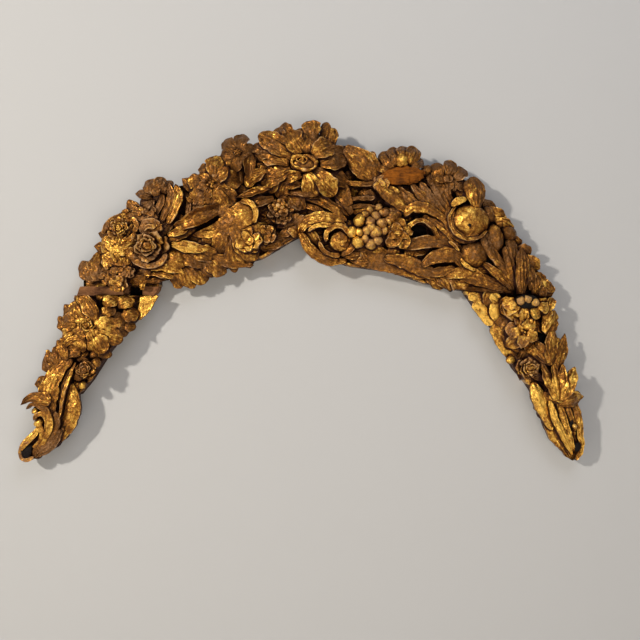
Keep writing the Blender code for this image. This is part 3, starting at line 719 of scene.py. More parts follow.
# seeds packed on a dome, each turned from the last by the golden angle
def makeSeedHeadTree():
    tree, given, result = newTree("seedHead", [
        ("Geometry", "NodeSocketGeometry"), ("Count", "NodeSocketInt"), ("Radius", "NodeSocketFloat"),
        ("Dome", "NodeSocketFloat"), ("Stretch", "NodeSocketFloat"), ("Seed Size", "NodeSocketFloat"),
        ("Seed", "NodeSocketInt"), ("Material", "NodeSocketMaterial"),
    ])
    line = addNode(tree, "GeometryNodeMeshLine", {"Count": given["Count"]})
    fields = {"index": addNode(tree, "GeometryNodeInputIndex")}
    # each field, the operation and what it works on: a field's name, an input's name in brackets or a number
    for name, operation, values in (
        ("middle", "ADD", ("index", 0.5)),
        ("share", "DIVIDE", ("middle", ["Count"])),
        ("root", "SQRT", ("share",)),
        ("out", "MULTIPLY", ("root", ["Radius"])),
        ("angle", "MULTIPLY", ("index", math.pi * (3 - math.sqrt(5)))),
        ("cosine", "COSINE", ("angle",)),
        ("sine", "SINE", ("angle",)),
        ("east", "MULTIPLY", ("out", "cosine")),
        ("side", "MULTIPLY", ("out", "sine")),
        ("north", "MULTIPLY", ("side", ["Stretch"])),
        ("left", "SUBTRACT", (1.02, "share")),
        ("fall", "SQRT", ("left",)),
        ("depth", "SUBTRACT", ("fall", 1.0)),
        ("up", "MULTIPLY", ("depth", ["Dome"])),
    ):
        sources = [
            given[value[0]] if isinstance(value, list) else fields.get(value, value) for value in values
        ]
        fields[name] = addNode(tree, "ShaderNodeMath", sources, operation=operation)
    place = addNode(tree, "ShaderNodeCombineXYZ", (fields["east"], fields["north"], fields["up"]))
    points = addNode(tree, "GeometryNodeSetPosition", {"Geometry": line, "Position": place})
    grain = addNode(tree, "GeometryNodeMeshIcoSphere", {"Radius": given["Seed Size"], "Subdivisions": 2})
    size = addNode(tree, "FunctionNodeRandomValue", {"Min": 0.82, "Max": 1.15, "Seed": given["Seed"]},
                   data_type="FLOAT")
    spots = addNode(tree, "GeometryNodeInstanceOnPoints",
                    {"Points": points, "Instance": grain, "Scale": size})
    finishTree(tree, spots, given, result)
    return tree


petalRingTree = makePetalRingTree()
seedHeadTree = makeSeedHeadTree()
workbench = bpy.data.collections.new("workbench")
bpy.context.scene.collection.children.link(workbench)


def meshFromShell(name, shell):
    places, corners, totals = shell
    mesh = bpy.data.meshes.new(name)
    mesh.vertices.add(len(places))
    mesh.vertices.foreach_set("co", np.ascontiguousarray(places, dtype=np.float32).ravel())
    mesh.loops.add(len(corners))
    mesh.loops.foreach_set("vertex_index", corners.astype(np.int32))
    mesh.polygons.add(len(totals))
    mesh.polygons.foreach_set("loop_start", (np.cumsum(totals) - totals).astype(np.int32))
    mesh.update(calc_edges=True)
    return mesh


# runs a tree once and takes its plain mesh back as a shell
def shellFromTree(tree, values):
    host = bpy.data.objects.new("host", bpy.data.meshes.new("host"))
    workbench.objects.link(host)
    modifier = host.modifiers.new("tree", "NODES")
    modifier.node_group = tree
    for item in tree.interface.items_tree:
        if item.in_out == "INPUT" and item.name in values:
            modifier[item.identifier] = values[item.name]
    evaluated = host.evaluated_get(bpy.context.evaluated_depsgraph_get())
    mesh = bpy.data.meshes.new_from_object(evaluated)
    host.modifiers.clear()
    places = np.empty(len(mesh.vertices) * 3, dtype=np.float32)
    mesh.vertices.foreach_get("co", places)
    corners = np.empty(len(mesh.loops), dtype=np.int32)
    mesh.loops.foreach_get("vertex_index", corners)
    totals = np.empty(len(mesh.polygons), dtype=np.int32)
    mesh.polygons.foreach_get("loop_total", totals)
    bpy.data.objects.remove(host)
    bpy.data.meshes.remove(mesh)
    return places.reshape(-1, 3).astype(float), corners.astype(int), totals.astype(int)


def ringOf(shell, count, radius, tilt, seed, unevenness=0.12):
    petal = bpy.data.objects.new("petal", meshFromShell("petal", shell))
    workbench.objects.link(petal)
    ring = shellFromTree(petalRingTree, {
        "Petal": petal, "Count": count, "Radius": float(radius), "Tilt": math.radians(tilt),
        "Unevenness": float(unevenness), "Seed": seed, "Material": gilding,
    })
    bpy.data.meshes.remove(petal.data)
    return ring


def petalRing(count, radius, tilt, length, width, seed, unevenness=0.12, **changes):
    return ringOf(leafShell(length, width, seed=seed, **changes), count, radius, tilt, seed, unevenness)


def seedHead(count, radius, dome, seedSize, stretch=1.0, seed=1):
    return shellFromTree(seedHeadTree, {
        "Count": count, "Radius": float(radius), "Dome": float(dome), "Stretch": float(stretch),
        "Seed Size": float(seedSize), "Seed": seed, "Material": gilding,
    })


# The carving is gathered piece by piece

carving = {}
current = {"piece": None, "origin": (0.0, 0.0), "tone": 0.5, "dust": 0.0, "shift": 0.0}
surfaceLook = {
    # height, spacing in millimetres and seed of the unevenness that every shell shares
    "heights": ((1.3, 15.0, 3), (1.0, 6.0, 4)),
    # the same for the sideways wander, east and north
    "wander": (1.4, 14.0, (5, 6)),
    "crumpleMm": 8.0,
    "crumpleSeed": 11,
    "crumpleWander": (1.2, 10.0, (12, 13)),
}


def startPiece(name, origin=(0.0, 0.0), shift=0.0, dust=0.0):
    carving.setdefault(name, [])
    current.update(piece=name, origin=origin, shift=shift, dust=dust)


def wandered(east, north, amount, spacing, seeds):
    return [
        axis + amount * grainField(east / spacing, north / spacing, seed)
        for axis, seed in zip((east, north), seeds)
    ]


# sets a shell on the board at a place measured from the group's origin: the shell's own height 0
# stands proud of the board's face
def addShell(shell, x, z, turn, proud, tone=None, lean=0.0, leanTo=0.0, crumple=0.0):
    look = surfaceLook
    places, corners, totals = shell
    angle = math.radians(turn)
    along, side, height = places[:, 0], places[:, 1], places[:, 2]
    east = along * math.cos(angle) - side * math.sin(angle)
    north = along * math.sin(angle) + side * math.cos(angle)
    if lean:
        toward = math.radians(leanTo)
        reach = east * math.cos(toward) + north * math.sin(toward)
        height = height - reach * math.sin(math.radians(lean))
    east = east + (current["origin"][0] + x)
    north = north + (current["origin"][1] + z)
    height = boardFace + proud + height
    for amount, spacing, seed in look["heights"]:
        height = height + amount * grainField(east / spacing, north / spacing, seed)
    if crumple:
        spacing = look["crumpleMm"]
        height = height + crumple * grainField(east / spacing, north / spacing, look["crumpleSeed"])
        share, spacing, seeds = look["crumpleWander"]
        east, north = wandered(east, north, share * crumple, spacing, seeds)
    east, north = wandered(east, north, *look["wander"])
    height = np.clip(height, lowestGap, highest)
    place = np.stack([east, -height, north], axis=-1)
    tone = current["tone"] if tone is None else tone
    share = np.full(len(place), tone if tone < 0 else max(tone + current["shift"], 0.0))
    dust = np.full(len(place), current["dust"])
    carving[current["piece"]].append((place, corners, totals, share, dust))


def seedOf(x, z, turn=0.0):
    x, z = current["origin"][0] + x, current["origin"][1] + z
    return int(abs(x) * 7 + abs(z) * 13 + abs(turn) * 3) % 100000 + 1


def leaf(x, z, turn, length, width, proud, tone=None, **changes):
    seed = seedOf(x, z, turn)
    length *= fuller
    width *= fuller
    if width > veinedWidth:
        changes.setdefault("sideVeins", (0, 5, 7)[seed % 3])
    changes.setdefault("root", max(proud + footBelow, 6.0))
    changes.setdefault("roll", 5.0 * math.sin(seed * 1.7))
    addShell(leafShell(length, width, seed=seed, **changes), x, z, turn, proud, tone)


petalLook = {
    "blunt": 0.95, "belly": 0.6, "rise": 7, "bend": 14, "cup": -0.35, "ribs": 5, "gouge": 1.3, "rim": 2.2,
    "wave": 2.4,
}


# leaves that share their shape; a row gives place, turn, length, width, proud and often tone
def leaves(rows, **changes):
    for row in rows:
        leaf(*row, **changes)


# a round petal placed by its middle
def petal(x, z, turn, size, proud, tone=None, **changes):
    angle = math.radians(turn)
    look = {**petalLook, **changes}
    leaf(x - size / 2 * math.cos(angle), z - size / 2 * math.sin(angle), turn, size, size * 0.92, proud,
         tone, **look)


def strand(points, tone=None, **changes):
    addShell(strandShell(points, seed=seedOf(*points[0][:2]), **changes), 0, 0, 0, 0, tone)


# strands that each have their own tone
def strands(several, **changes):
    for tone, points in several:
        strand(points, tone=tone, **changes)


def ball(x, z, radius, proud, tone=None, **changes):
    addShell(ballShell(radius, seed=seedOf(x, z), **changes), x, z, 0, proud, tone)


def bloom(x, z, radius, proud, tone=None, **changes):
    addShell(bloomShell(radius, seed=seedOf(x, z), **changes), x, z, 0, proud, tone)


roseWhorls = (
    # petals, foot, rim, arc in degrees, height and top, the lengths as shares of the rose's radius
    (5, 0.50, 0.98, 92, 0.62, -0.40), (5, 0.42, 0.78, 96, 0.52, -0.20), (4, 0.30, 0.56, 112, 0.44, -0.05),
    (3, 0.20, 0.36, 140, 0.34, 0.04),
)


# a cabbage rose: whorls of leaning petals wrapped about a spiral bud
def rose(x, z, radius, proud, turn=0.0, tone=None, lean=0.0, leanTo=0.0):
    seed = seedOf(x, z)
    where = dict(tone=tone, lean=lean, leanTo=leanTo, crumple=2.2)
    ball(x, z, radius * 0.66, proud - radius * 0.3, tone=tone, flat=0.9)
    for step, (count, foot, rim, arc, high, top) in enumerate(roseWhorls):
        thick = 2.6 + radius * 0.03
        shell = wrapPetal(radius * foot, radius * rim, arc, radius * high, thick=thick, seed=seed + step)
        ring = ringOf(shell, count, 0.01, 0, seed + step, 0.17)
        addShell(ring, x, z, turn + 41 * step, proud + radius * top, **where)
    addShell(budShell(radius * 0.2, seed=seed % 7), x, z, turn, proud + radius * 0.02, **where)


# an open flower: one or two rings of petals and a raised seedy heart
def flower(x, z, radius, petals, proud, turn=0.0, heart=0.28, tilt=6.0, bend=14.0, blunt=0.7, cup=-0.05,
           layers=1, uneven=0.16, tone=None, lean=0.0, leanTo=0.0, ribs=4, seeds=12):
    seed = seedOf(x, z)
    where = dict(tone=tone, lean=lean, leanTo=leanTo, crumple=1.4)
    width = 2 * math.pi * radius * 0.62 / petals * 1.15
    for layer in range(layers):
        size = 1 - 0.34 * layer
        ring = petalRing(
            petals, radius * 0.22 * size, tilt + 20 * layer, radius * 0.82 * size, width * size,
            seed + layer, uneven,
            blunt=blunt, belly=0.6, bend=bend * size, rise=5, cup=cup, thick=6, edge=2, ribs=ribs,
            gouge=1.2,
            wave=2.4, rim=2.2, root=radius * 0.5,
        )
        addShell(ring, x, z, turn + 180 / petals * layer, proud - radius * 0.12 + 3 * layer, **where)
    addShell(ballShell(radius * heart, flat=0.9, seed=seed), x, z, 0, proud - 1, **where)
    if seeds:
        head = seedHead(seeds, radius * heart * 0.85, radius * 0.22, radius * 0.075, seed=seed)
        addShell(head, x, z, 0, proud, **where)


# The crown, left part

# leaves and a lumpy flower over the left joint
def leftShoulder():
    leaf(-54, -6, 126, 50, 36, 10, rise=6, bend=22, blunt=0.6, sideVeins=5, tone=0.25)
    leaf(-42, -6, 94, 58, 32, 20, rise=10, bend=20, blunt=0.7, sideVeins=6, tone=0.5)
    leaf(-19, 19, 106, 32, 16, 28, bend=20, tone=0.9)
    leaf(-13, 24, 150, 40, 22, 12)
    leaf(34, 8, 16, 66, 20, 8, tone=0.4)
    leaf(30, -4, 4, 76, 18, 4, tone=0.3)
    leaf(28, 22, 30, 60, 20, 8, tone=0.4)
    # a black ball of negative tone: painted shade in the opening at the joint
    ball(31, -13, 15, -2, flat=0.3, tall=1.2, tone=-1.0)
    for dx, dz, radius, proud, tone in (
        (-23, 4, 17, 26, 0.6), (6, 17, 20, 32, 0.6), (3, -13, 19, 34, 0.6), (24, 13, 13, 30, 0.5),
        (-8, -4, 14, 30, 0.4),
    ):
        bloom(dx, dz, radius, proud, petals=7, tone=tone)


# a flower seen from the side: a full bloom under upright shell-like petals
def cupFlower():
    for turn, dx, dz, length, width, proud in (
        (196, 0, 30, 40, 28, 18), (168, 0, 36, 40, 30, 20), (138, 4, 44, 40, 30, 22),
        (108, 10, 48, 36, 30, 22),
    ):
        leaf(dx, dz, turn, length, width, proud, rise=12, bend=30, blunt=0.9, belly=0.6, ribs=4, cup=-0.2,
             rim=2.4, tone=0.45)
    rose(0, 47, 29, 37, turn=40, tone=0.55, lean=14, leanTo=130)
    strands((
        (0.5, ((-34, 26, 8, 24), (-20, 20, 11, 30), (2, 18, 12, 34), (24, 24, 11, 36), (36, 38, 9, 34))),
        (0.7, ((24, 68, 8, 28), (34, 62, 10, 32), (38, 50, 10, 34), (32, 38, 8, 34))),
        (0.35, ((-36, 36, 8, 18), (-30, 52, 10, 22), (-16, 66, 10, 24), (2, 76, 9, 22))),
    ), ribs=1)
    leaf(16, 30, 24, 40, 32, 24, cup=0.5, blunt=0.8, tone=0.75)
    leaf(6, 22, 8, 44, 24, 18, cup=0.4, tone=0.6)
    ball(37, 54, 11, 30, grooves=4, tone=0.2)
    bloom(14, 73, 16, 22, petals=7, tone=0.45)
    bloom(-4, 64, 13, 18, petals=6, tone=0.3)
    leaf(-14, 26, 158, 36, 24, 12, tone=0.2)
    leaf(-22, 4, 170, 36, 26, 10, sideVeins=5, tone=0.35)
    leaf(-20, -8, 196, 34, 24, 8, tone=0.3)
    ball(-31, 23, 11, 20, grooves=4, tone=0.5)
    ball(-30, -15, 9, 22, tall=1.6, tone=1.1)
    for dx, dz, turn, size, proud, tone in (
        (-20, 10, 158, 38, 30, 0.9), (-2, 18, 100, 38, 34, 1.0), (20, 10, 28, 38, 36, 0.85),
        (24, -10, -30, 36, 34, 0.7), (6, -22, -84, 40, 32, 0.9), (-18, -14, -146, 36, 30, 1.0),
        (-8, -2, 170, 28, 38, 1.1), (8, 2, 20, 30, 40, 1.0), (0, -10, -70, 26, 39, 0.8),
    ):
        petal(dx, dz, turn, size, proud, tone, ribs=6, gouge=2.0, wave=3.4)
    strands((
        (0.9, ((-32, -6, 7, 26), (-16, -20, 11, 32), (6, -26, 12, 34), (24, -24, 9, 30))),
        (1.0, ((-28, 12, 7, 30), (-14, 4, 10, 37), (2, 4, 11, 39), (18, 8, 9, 37))),
    ), ribs=1)
    ball(38, -12, 13, 30, grooves=4, tone=0.6)


# two roses side by side, with smaller blooms above them
def cabbageRoses():
    rose(0, 0, 38, 52, turn=10, tone=0.5)
    bloom(6, 40, 24, 38, petals=8, spread=1.5, stretch=0.8, swirl=0.9, tone=0.5)
    strands((
        (0.6, ((-16, 36, 8, 34), (-8, 50, 10, 40), (8, 54, 11, 42), (24, 46, 9, 38))),
        (0.75, ((-10, 34, 6, 38), (2, 42, 8, 44), (16, 40, 8, 42))),
        (0.5, ((-40, 10, 8, 34), (-38, -12, 10, 38), (-24, -32, 11, 38), (0, -40, 11, 38),
               (24, -34, 10, 36), (38, -14, 9, 34))),
    ), ribs=1)
    bloom(-25, 69, 19, 24, petals=9, tone=0.5)
    bloom(2, 69, 18, 30, petals=8, tone=0.2)
    ball(-12, 58, 10, 28, grooves=5, tone=0.45)
    ball(26, 58, 10, 26, grooves=5, tone=0.3)
    leaf(-20, 62, 128, 46, 28, 14, blunt=0.6, tone=0.4)
    leaf(22, 26, 50, 40, 20, 24, tone=0.15)
    leaf(10, -30, -60, 40, 30, 14, tone=0.3)
    leaf(-12, -34, -100, 34, 30, 12, tone=0.5)


# a flower at the outer edge over bands that curve up beside it
def halfOpenTulip():
    for turn, dx, dz, length, width, proud, blunt in (
        (164, -42, 55, 38, 20, 22, 0.1), (206, -40, 48, 34, 26, 20, 0.7), (128, -36, 62, 34, 26, 24, 0.8),
        (92, -28, 64, 32, 26, 26, 0.9), (62, -20, 62, 32, 24, 24, 0.9), (232, -34, 40, 34, 26, 18, 0.7),
    ):
        leaf(dx, dz, turn, length, width, proud, rise=10, bend=20, blunt=blunt, belly=0.55, rim=2.4,
             tone=0.3)
    for dx, dz, turn, size, proud in (
        (-40, 80, 120, 26, 26), (-25, 83, 80, 28, 28), (-33, 68, 100, 24, 32), (-48, 68, 160, 24, 24),
    ):
        petal(dx, dz, turn, size, proud, 0.4, wave=3.4)
    # a dark ball of negative tone: painted shade between the petals
    ball(-31, 54, 9, 30, tone=-0.4)
    strands((
        (0.9, ((-8, -2, 10, 32), (8, 28, 17, 36), (16, 58, 17, 34), (8, 82, 9, 26))),
        (0.45, ((-22, 4, 9, 28), (-7, 34, 15, 33), (-1, 62, 14, 32), (-8, 84, 8, 26))),
        (0.35, ((-40, 12, 9, 22), (-26, 34, 14, 28), (-20, 52, 11, 28), (-20, 62, 7, 26))),
        (0.25, ((-54, 26, 8, 16), (-44, 40, 12, 22), (-42, 54, 9, 22))),
        (0.5, ((30, 0, 8, 20), (34, 24, 10, 24), (34, 48, 9, 22), (28, 66, 6, 18))),
    ), gouge=1.8, cup=-0.2)
    leaf(6, -14, 20, 60, 16, 16, tone=0.3)


# an open flower in two rings of petals, with a dark flower above it on its stems
def secondFlower():
    flower(0, 0, 54, 7, 34, turn=14, heart=0.24, layers=2, blunt=0.9, bend=20, ribs=5, seeds=10,
           uneven=0.24, tone=0.6)
    leaf(4, 16, 84, 42, 34, 40, rise=8, bend=16, blunt=0.9, belly=0.6, rim=2.4, tone=0.7)
    leaf(8, -14, -64, 38, 32, 36, bend=18, blunt=0.9, belly=0.6, rim=2.4, tone=0.8)
    bloom(-38, -28, 16, 26, petals=7, tone=0.6)
    leaf(-29, -13, 142, 44, 28, 16, sideVeins=5, tone=0.4)
    leaf(-40, -25, -44, 38, 20, 22)
    ball(-34, -28, 9, 26)
    ball(-24, -40, 9, 28)
    ball(-36, -48, 8, 24)
    flower(54, 67, 38, 6, 30, turn=20, heart=0.24, bend=20, blunt=0.9, ribs=4, lean=14, leanTo=110,
           tone=0.12)
    leaf(54, 6, 96, 48, 14, 14, thick=14, tone=0.2)
    leaf(62, 4, 92, 52, 12, 16, thick=14, tone=0.3)
    leaf(79, 15, 88, 48, 24, 36, cup=0.5, rise=8, tone=0.5)


# leaves that spread from beside the roses towards the middle and down to the lower edge
def longLeaves():
    leaf(6, 21, 24, 116, 32, 26, rise=10, bend=16, cup=0.7, ribs=2, gouge=0.8, edge=4, tone=0.55)
    leaf(17, 31, 40, 84, 20, 18, tone=0.3)
    leaf(-8, 6, 22, 46, 19, 36, tone=0.85, ribs=2)
    leaf(-10, -6, 25, 60, 17, 30, tone=0.6)
    leaf(0, -13, -8, 70, 24, 32, tone=0.95, ribs=2)
    leaf(-13, -21, -56, 78, 52, 18, bend=24, ribs=6, gouge=1.6, belly=0.45, blunt=0.35, tone=0.6)
    leaf(-4, -25, -19, 84, 38, 22, ribs=5, gouge=1.6, tone=0.45)
    leaf(-48, -63, 22, 72, 22, 24, sway=-64, ribs=2, gouge=1.8, tone=0.9)
    leaf(-46, -74, 8, 60, 16, 16, sway=-40, tone=0.5)
    ball(4, -44, 24, 30, flat=0.7, grooves=7, tone=0.35)
    leaves((
        (2, -62, -78, 40, 30, 12, 0.7), (20, -60, -66, 44, 34, 14, 0.6), (36, -56, -52, 44, 34, 12, 0.8),
        (50, -46, -40, 44, 32, 14, 0.55), (66, -46, -30, 46, 34, 12, 0.85),
        (80, -38, -20, 44, 28, 10, 0.5),
    ), bend=16, blunt=0.8, belly=0.6, ribs=4)
    for dx, dz, turn in ((30, -34, -24), (40, -30, -14), (48, -24, -6)):
        leaf(dx, dz, turn, 40, 24, 22, blunt=0.7, ribs=4, tone=0.4)


# a broad smooth leaf like a trumpet, with folded lobes under its end
def acanthus():
    strand(((-70, -14, 12, 22), (-30, -6, 26, 28), (0, 6, 40, 34), (26, 22, 54, 38), (46, 38, 50, 36),
            (60, 50, 26, 28)),
           tone=0.8, ribs=2, gouge=1.4, cup=-0.22, cuts=0.8, round=0.14)
    strand(((30, 56, 8, 36), (52, 52, 11, 40), (62, 34, 11, 40), (58, 10, 8, 34)), tone=0.9, ribs=1)
    leaf(-8, 21, 62, 40, 34, 30, blunt=0.5, ribs=4)
    leaf(-20, -4, 24, 80, 20, 30, ribs=2, tone=0.7)
    leaf(-52, -22, 2, 96, 24, 20, ribs=3, tone=0.45)
    leaves((
        (13, 4, -56, 78, 44, 36, 0.7), (42, 8, -18, 60, 32, 28, 0.7), (0, -4, -112, 52, 38, 30, 0.7),
        (10, -8, -88, 76, 32, 24, 0.45), (50, -25, -10, 58, 28, 16, 0.45),
        (-25, -13, -140, 44, 28, 20, 0.45), (34, 2, -40, 60, 30, 30, 0.7),
        (26, -24, -70, 56, 34, 22, 0.45),
    ), bend=30, blunt=0.8, belly=0.6, ribs=4, cup=-0.35, gouge=1.5)
    bloom(46, -26, 29, 38, petals=9, spread=1.4, lift=0.26, stretch=0.9, tone=0.8)
    bloom(84, -12, 20, 28, petals=7, tone=0.6)
    leaf(-42, -59, -10, 92, 26, 9, bend=8, ribs=2, tone=0.5)
    leaf(-20, -62, 2, 70, 16, 5, bend=6, ribs=2, tone=0.2)


# a tall bumpy fruit, with blades above it and small leaves at the notch
def mulberry():
    bloom(4, -6, 30, 36, petals=26, spread=1.1, lift=0.3, dome=0.7, tone=0.4)
    addShell(seedHead(13, 17, 10, 5.6, stretch=1.1, seed=5), 2, -2, 0, 36, tone=0.5)
    bloom(33, 10, 17, 28, petals=6, tone=0.4)
    leaf(-17, 42, 197, 72, 16, 34, bend=8, cup=0.5, ribs=1, gouge=2.2, tone=0.55)
    leaf(-13, 19, 194, 80, 22, 26, bend=8, cup=0.4, ribs=2, tone=0.3)
    leaf(-20, 6, 200, 60, 14, 14, tone=0.15)
    leaf(19, 25, -38, 40, 30, 28, cup=0.5, blunt=0.6)
    for dx, dz, turn, length in (
        (40, -13, -128, 46), (50, -17, -116, 38), (30, -12, -142, 44), (18, -44, -20, 30),
    ):
        leaf(dx, dz, turn, length, 24, 22, bend=20, ribs=2, tone=0.45)
    leaf(36, -40, -156, 42, 18, 14)
    leaf(33, -48, -159, 88, 26, 6, bend=6, ribs=3, tone=0.2)


# The crown, middle

# the flower at the middle: unlike petals about an oval cup, with a half-open flower above it
def greatFlower():
    petals = (
        # place, turn, length, width, proud, cup, tone
        (19, 15, 35, 44, 40, 52, 0.15, 0.85), (33, -2, 10, 52, 34, 46, -0.1, 0.6),
        (29, -21, -52, 52, 40, 48, 0.15, 0.85), (4, -21, -68, 46, 36, 48, -0.1, 0.95),
        (-6, -25, 192, 38, 24, 50, 0.3, 0.75), (0, -44, 183, 48, 15, 44, 0.0, 0.6),
        (-56, -27, -117, 34, 24, 40, 0.1, 1.0), (-82, -13, -145, 48, 28, 38, 0.1, 0.95),
        (-109, -19, 96, 38, 22, 30, 0.5, 0.45), (-17, 13, 147, 86, 42, 46, -0.15, 0.75),
        (-6, 21, 122, 56, 42, 47, -0.1, 0.8), (-31, 2, 163, 66, 34, 46, -0.2, 0.6),
        (8, 21, 88, 36, 40, 46, -0.1, 0.8), (-29, -12, 205, 64, 36, 44, -0.15, 0.65),
        (-21, 63, 148, 34, 22, 30, 0.1, 0.6), (-67, 42, 125, 32, 26, 28, 0.1, 0.55),
        (-79, 25, 150, 32, 26, 28, 0.0, 0.5), (-44, 46, 118, 34, 28, 30, 0.2, 0.4),
        (-60, 14, 158, 44, 30, 36, 0.0, 0.6), (30, 8, 20, 60, 32, 38, -0.2, 0.4),
        (14, -12, -38, 64, 34, 40, -0.2, 0.5), (-40, -34, 250, 36, 28, 36, 0.0, 0.6),
        (46, -22, -18, 48, 30, 30, 0.0, 0.45),
    )
    for dx, dz, turn, length, width, proud, cup, tone in petals:
        leaf(dx, dz, turn, length, width, proud, belly=0.62, blunt=0.85, rise=9, bend=18, cup=cup, ribs=5,
             gouge=1.4, wave=2.6, thick=7, rim=2.6, cuts=2.0, tone=tone)
    bloom(-75, -8, 24, 40, petals=15, lift=0.26, tone=0.65)
    # the oval cup, with a small ring within its rim
    ball(0, -2, 29, 51, flat=0.3, tall=0.66, grooves=5, tone=0.7)
    addShell(hoopShell(25, 15, 7, 8), 0, 0, -8, 54, tone=0.9, crumple=2.2)
    addShell(hoopShell(11, 6.5, 3.5, 6), -4, 6, -4, 55, tone=1.0, crumple=0.8)
    addShell(seedHead(7, 5, 2, 2.4, seed=3), -4, 6, 0, 53, tone=0.9)
    ball(-21, 11, 7, 54, grooves=3, tone=0.9)
    # the half-open flower at the top
    leaf(17, 54, 94, 36, 38, 36, blunt=1.0, belly=0.7, rise=6, bend=10, rim=2.6, tone=0.7)
    leaf(52, 30, 80, 46, 25, 32, blunt=1.0, belly=0.7, rise=6, bend=10, rim=2.6, tone=0.55)
    leaf(-1, 34, 106, 42, 26, 34, blunt=0.9, belly=0.7, rise=6, bend=12, tone=0.6)
    leaf(36, 52, 72, 38, 20, 28, blunt=0.9, belly=0.7, tone=0.4)
    ball(22, 55, 10, 40, grooves=3, tone=0.2)
    ball(25, 38, 15, 38, flat=0.8, grooves=5, tone=0.6)
    leaf(-28, -58, -4, 56, 17, 38, bend=4, blunt=0.9, gouge=0.5, ribs=1, cup=-0.5, thick=14, cuts=0.5,
         rim=0, tone=0.2)
    leaf(-54, -50, -10, 54, 18, 32, bend=6, tone=0.5)
    leaf(2, -66, -4, 34, 10, 32, bend=6, tone=0.6)
    ball(38, -68, 9, 28, tone=0.5)


# a broad leaf over dark openings crossed by struts, and a long stem below them
def caves():
    leaf(-44, 74, -38, 106, 52, 30, belly=0.5, rise=10, bend=20, blunt=0.3, ribs=5, gouge=1.6, tone=0.65)
    leaf(-14, 64, -32, 70, 24, 24, bend=14, ribs=3, tone=0.45)
    leaves((
        (-27, 52, 125, 38, 26, 22), (-8, 44, 112, 36, 22, 18), (4, 36, 107, 40, 20, 20),
        (27, 31, 108, 40, 20, 16),
    ), bend=20, blunt=0.7, tone=0.25)
    strands((
        (0.35, ((-46, 6, 8, 20), (-20, 3, 10, 24), (8, 2, 9, 24), (30, 6, 8, 22))),
        (0.3, ((-40, -30, 8, 20), (-14, -29, 8, 24), (20, -27, 9, 22))),
        (0.25, ((-30, -46, 8, 16), (-6, -43, 8, 18), (30, -50, 9, 18))),
        (0.5, ((-24, -58, 9, 18), (2, -55, 12, 20), (30, -62, 10, 18))),
    ))
    leaf(-31, -42, 124, 58, 30, 22, rise=6, ribs=2, gouge=2.0, tone=0.4)
    leaf(-27, -60, 128, 64, 22, 16, ribs=2, tone=0.25)
    leaf(-103, -21, -32, 76, 15, 28, thick=12, ribs=2, tone=0.4)
    strands((
        (0.5, ((-139, -22, 10, 24), (-101, -34, 14, 30), (-65, -53, 13, 30), (-40, -76, 8, 26))),
        (0.35, ((-130, -40, 9, 18), (-101, -52, 12, 22), (-76, -68, 11, 22), (-54, -84, 7, 18))),
        (0.3, ((-122, -54, 8, 12), (-96, -66, 10, 14), (-76, -80, 8, 12))),
    ))


# a scroll on the lower edge, rolled round a ball, with the band that runs on from it
def volute():
    strands((
        (0.85, ((-86, 20, 10, 18), (-73, 42, 22, 27), (-46, 50, 30, 33), (-13, 46, 27, 31),
                (16, 26, 12, 24))),
        (0.6, ((-84, 24, 12, 20), (-70, -4, 21, 23), (-48, -26, 22, 22), (-18, -38, 19, 18),
               (14, -36, 10, 10))),
    ), ribs=4, gouge=1.8)
    strands((
        (0.6, ((-30, 4, 7, 26), (-28, 20, 9, 32), (-14, 33, 11, 35), (6, 33, 10, 34), (20, 18, 8, 28))),
        (0.4, ((-44, 2, 7, 24), (-36, -14, 9, 24), (-18, -24, 9, 22), (0, -26, 7, 18))),
        (0.9, ((-66, 24, 6, 30), (-52, 34, 9, 36), (-32, 36, 9, 36), (-16, 36, 6, 34))),
    ), ribs=1)
    ball(1, 5, 25, 26, flat=0.7, grooves=5, tone=0.5)
    addShell(budShell(23, turns=1.5, dome=0.55, seed=4), 1, 5, 60, 24, tone=0.6, crumple=1.5)
    strand(((20, 28, 8, 22), (30, 8, 12, 24), (22, -14, 12, 20), (2, -26, 8, 16)), tone=0.4, ribs=2)
    # a black ball of negative tone: painted shade in the hollow beside the scroll
    ball(-32, -4, 12, -4, tone=-1.0)
    strands((
        (0.4, ((18, -28, 20, 6), (60, -30, 44, 8), (110, -38, 48, 8), (160, -52, 42, 8),
               (210, -70, 18, 6))),
    ), ribs=1, gouge=0.5, cup=-0.12, cuts=0.6)
    leaf(40, -12, -8, 70, 24, 10, bend=8, ribs=2, tone=0.55)


# round berries of several sizes, with a small cup-shaped flower beside them
def bunchOfBerries():
    for dx, dz, radius, proud in (
        (-22, 17, 13, 42), (-37, -7, 12, 38), (-25, -28, 13, 38), (-22, -7, 10, 36),
    ):
        ball(dx, dz, radius, proud, navel=0.8, tone=1.5)
    current["dust"] = 1.1
    for dx, dz, radius, proud in (
        (1, 14, 12, 36), (13, -6, 14, 38), (-6, -4, 11, 37), (3, -30, 13, 30), (-9, 30, 9, 28),
        (26, 12, 12, 34), (42, 18, 11, 31), (30, 34, 11, 29), (-10, -20, 10, 33), (14, 27, 11, 31),
        (17, -24, 11, 33), (31, -4, 10, 31), (45, 34, 9, 26), (4, 2, 11, 38), (20, 46, 9, 24),
        (54, 8, 9, 27), (0, 42, 8, 22),
    ):
        ball(dx, dz, radius, proud, grooves=3 if radius > 10 else 0, tone=1.1)
    current["dust"] = 0.0
    ball(8, 2, 42, 22, flat=0.35, grooves=9, tone=0.3)
    cupX, cupZ = 62, -10
    flower(cupX, cupZ, 32, 5, 26, turn=10, heart=0.3, tilt=26, bend=12, cup=0.2, blunt=0.8, ribs=5,
           layers=2, seeds=5, uneven=0.34, tone=0.5)
    leaf(cupX - 4, cupZ - 20, -110, 34, 24, 14, tone=0.3)


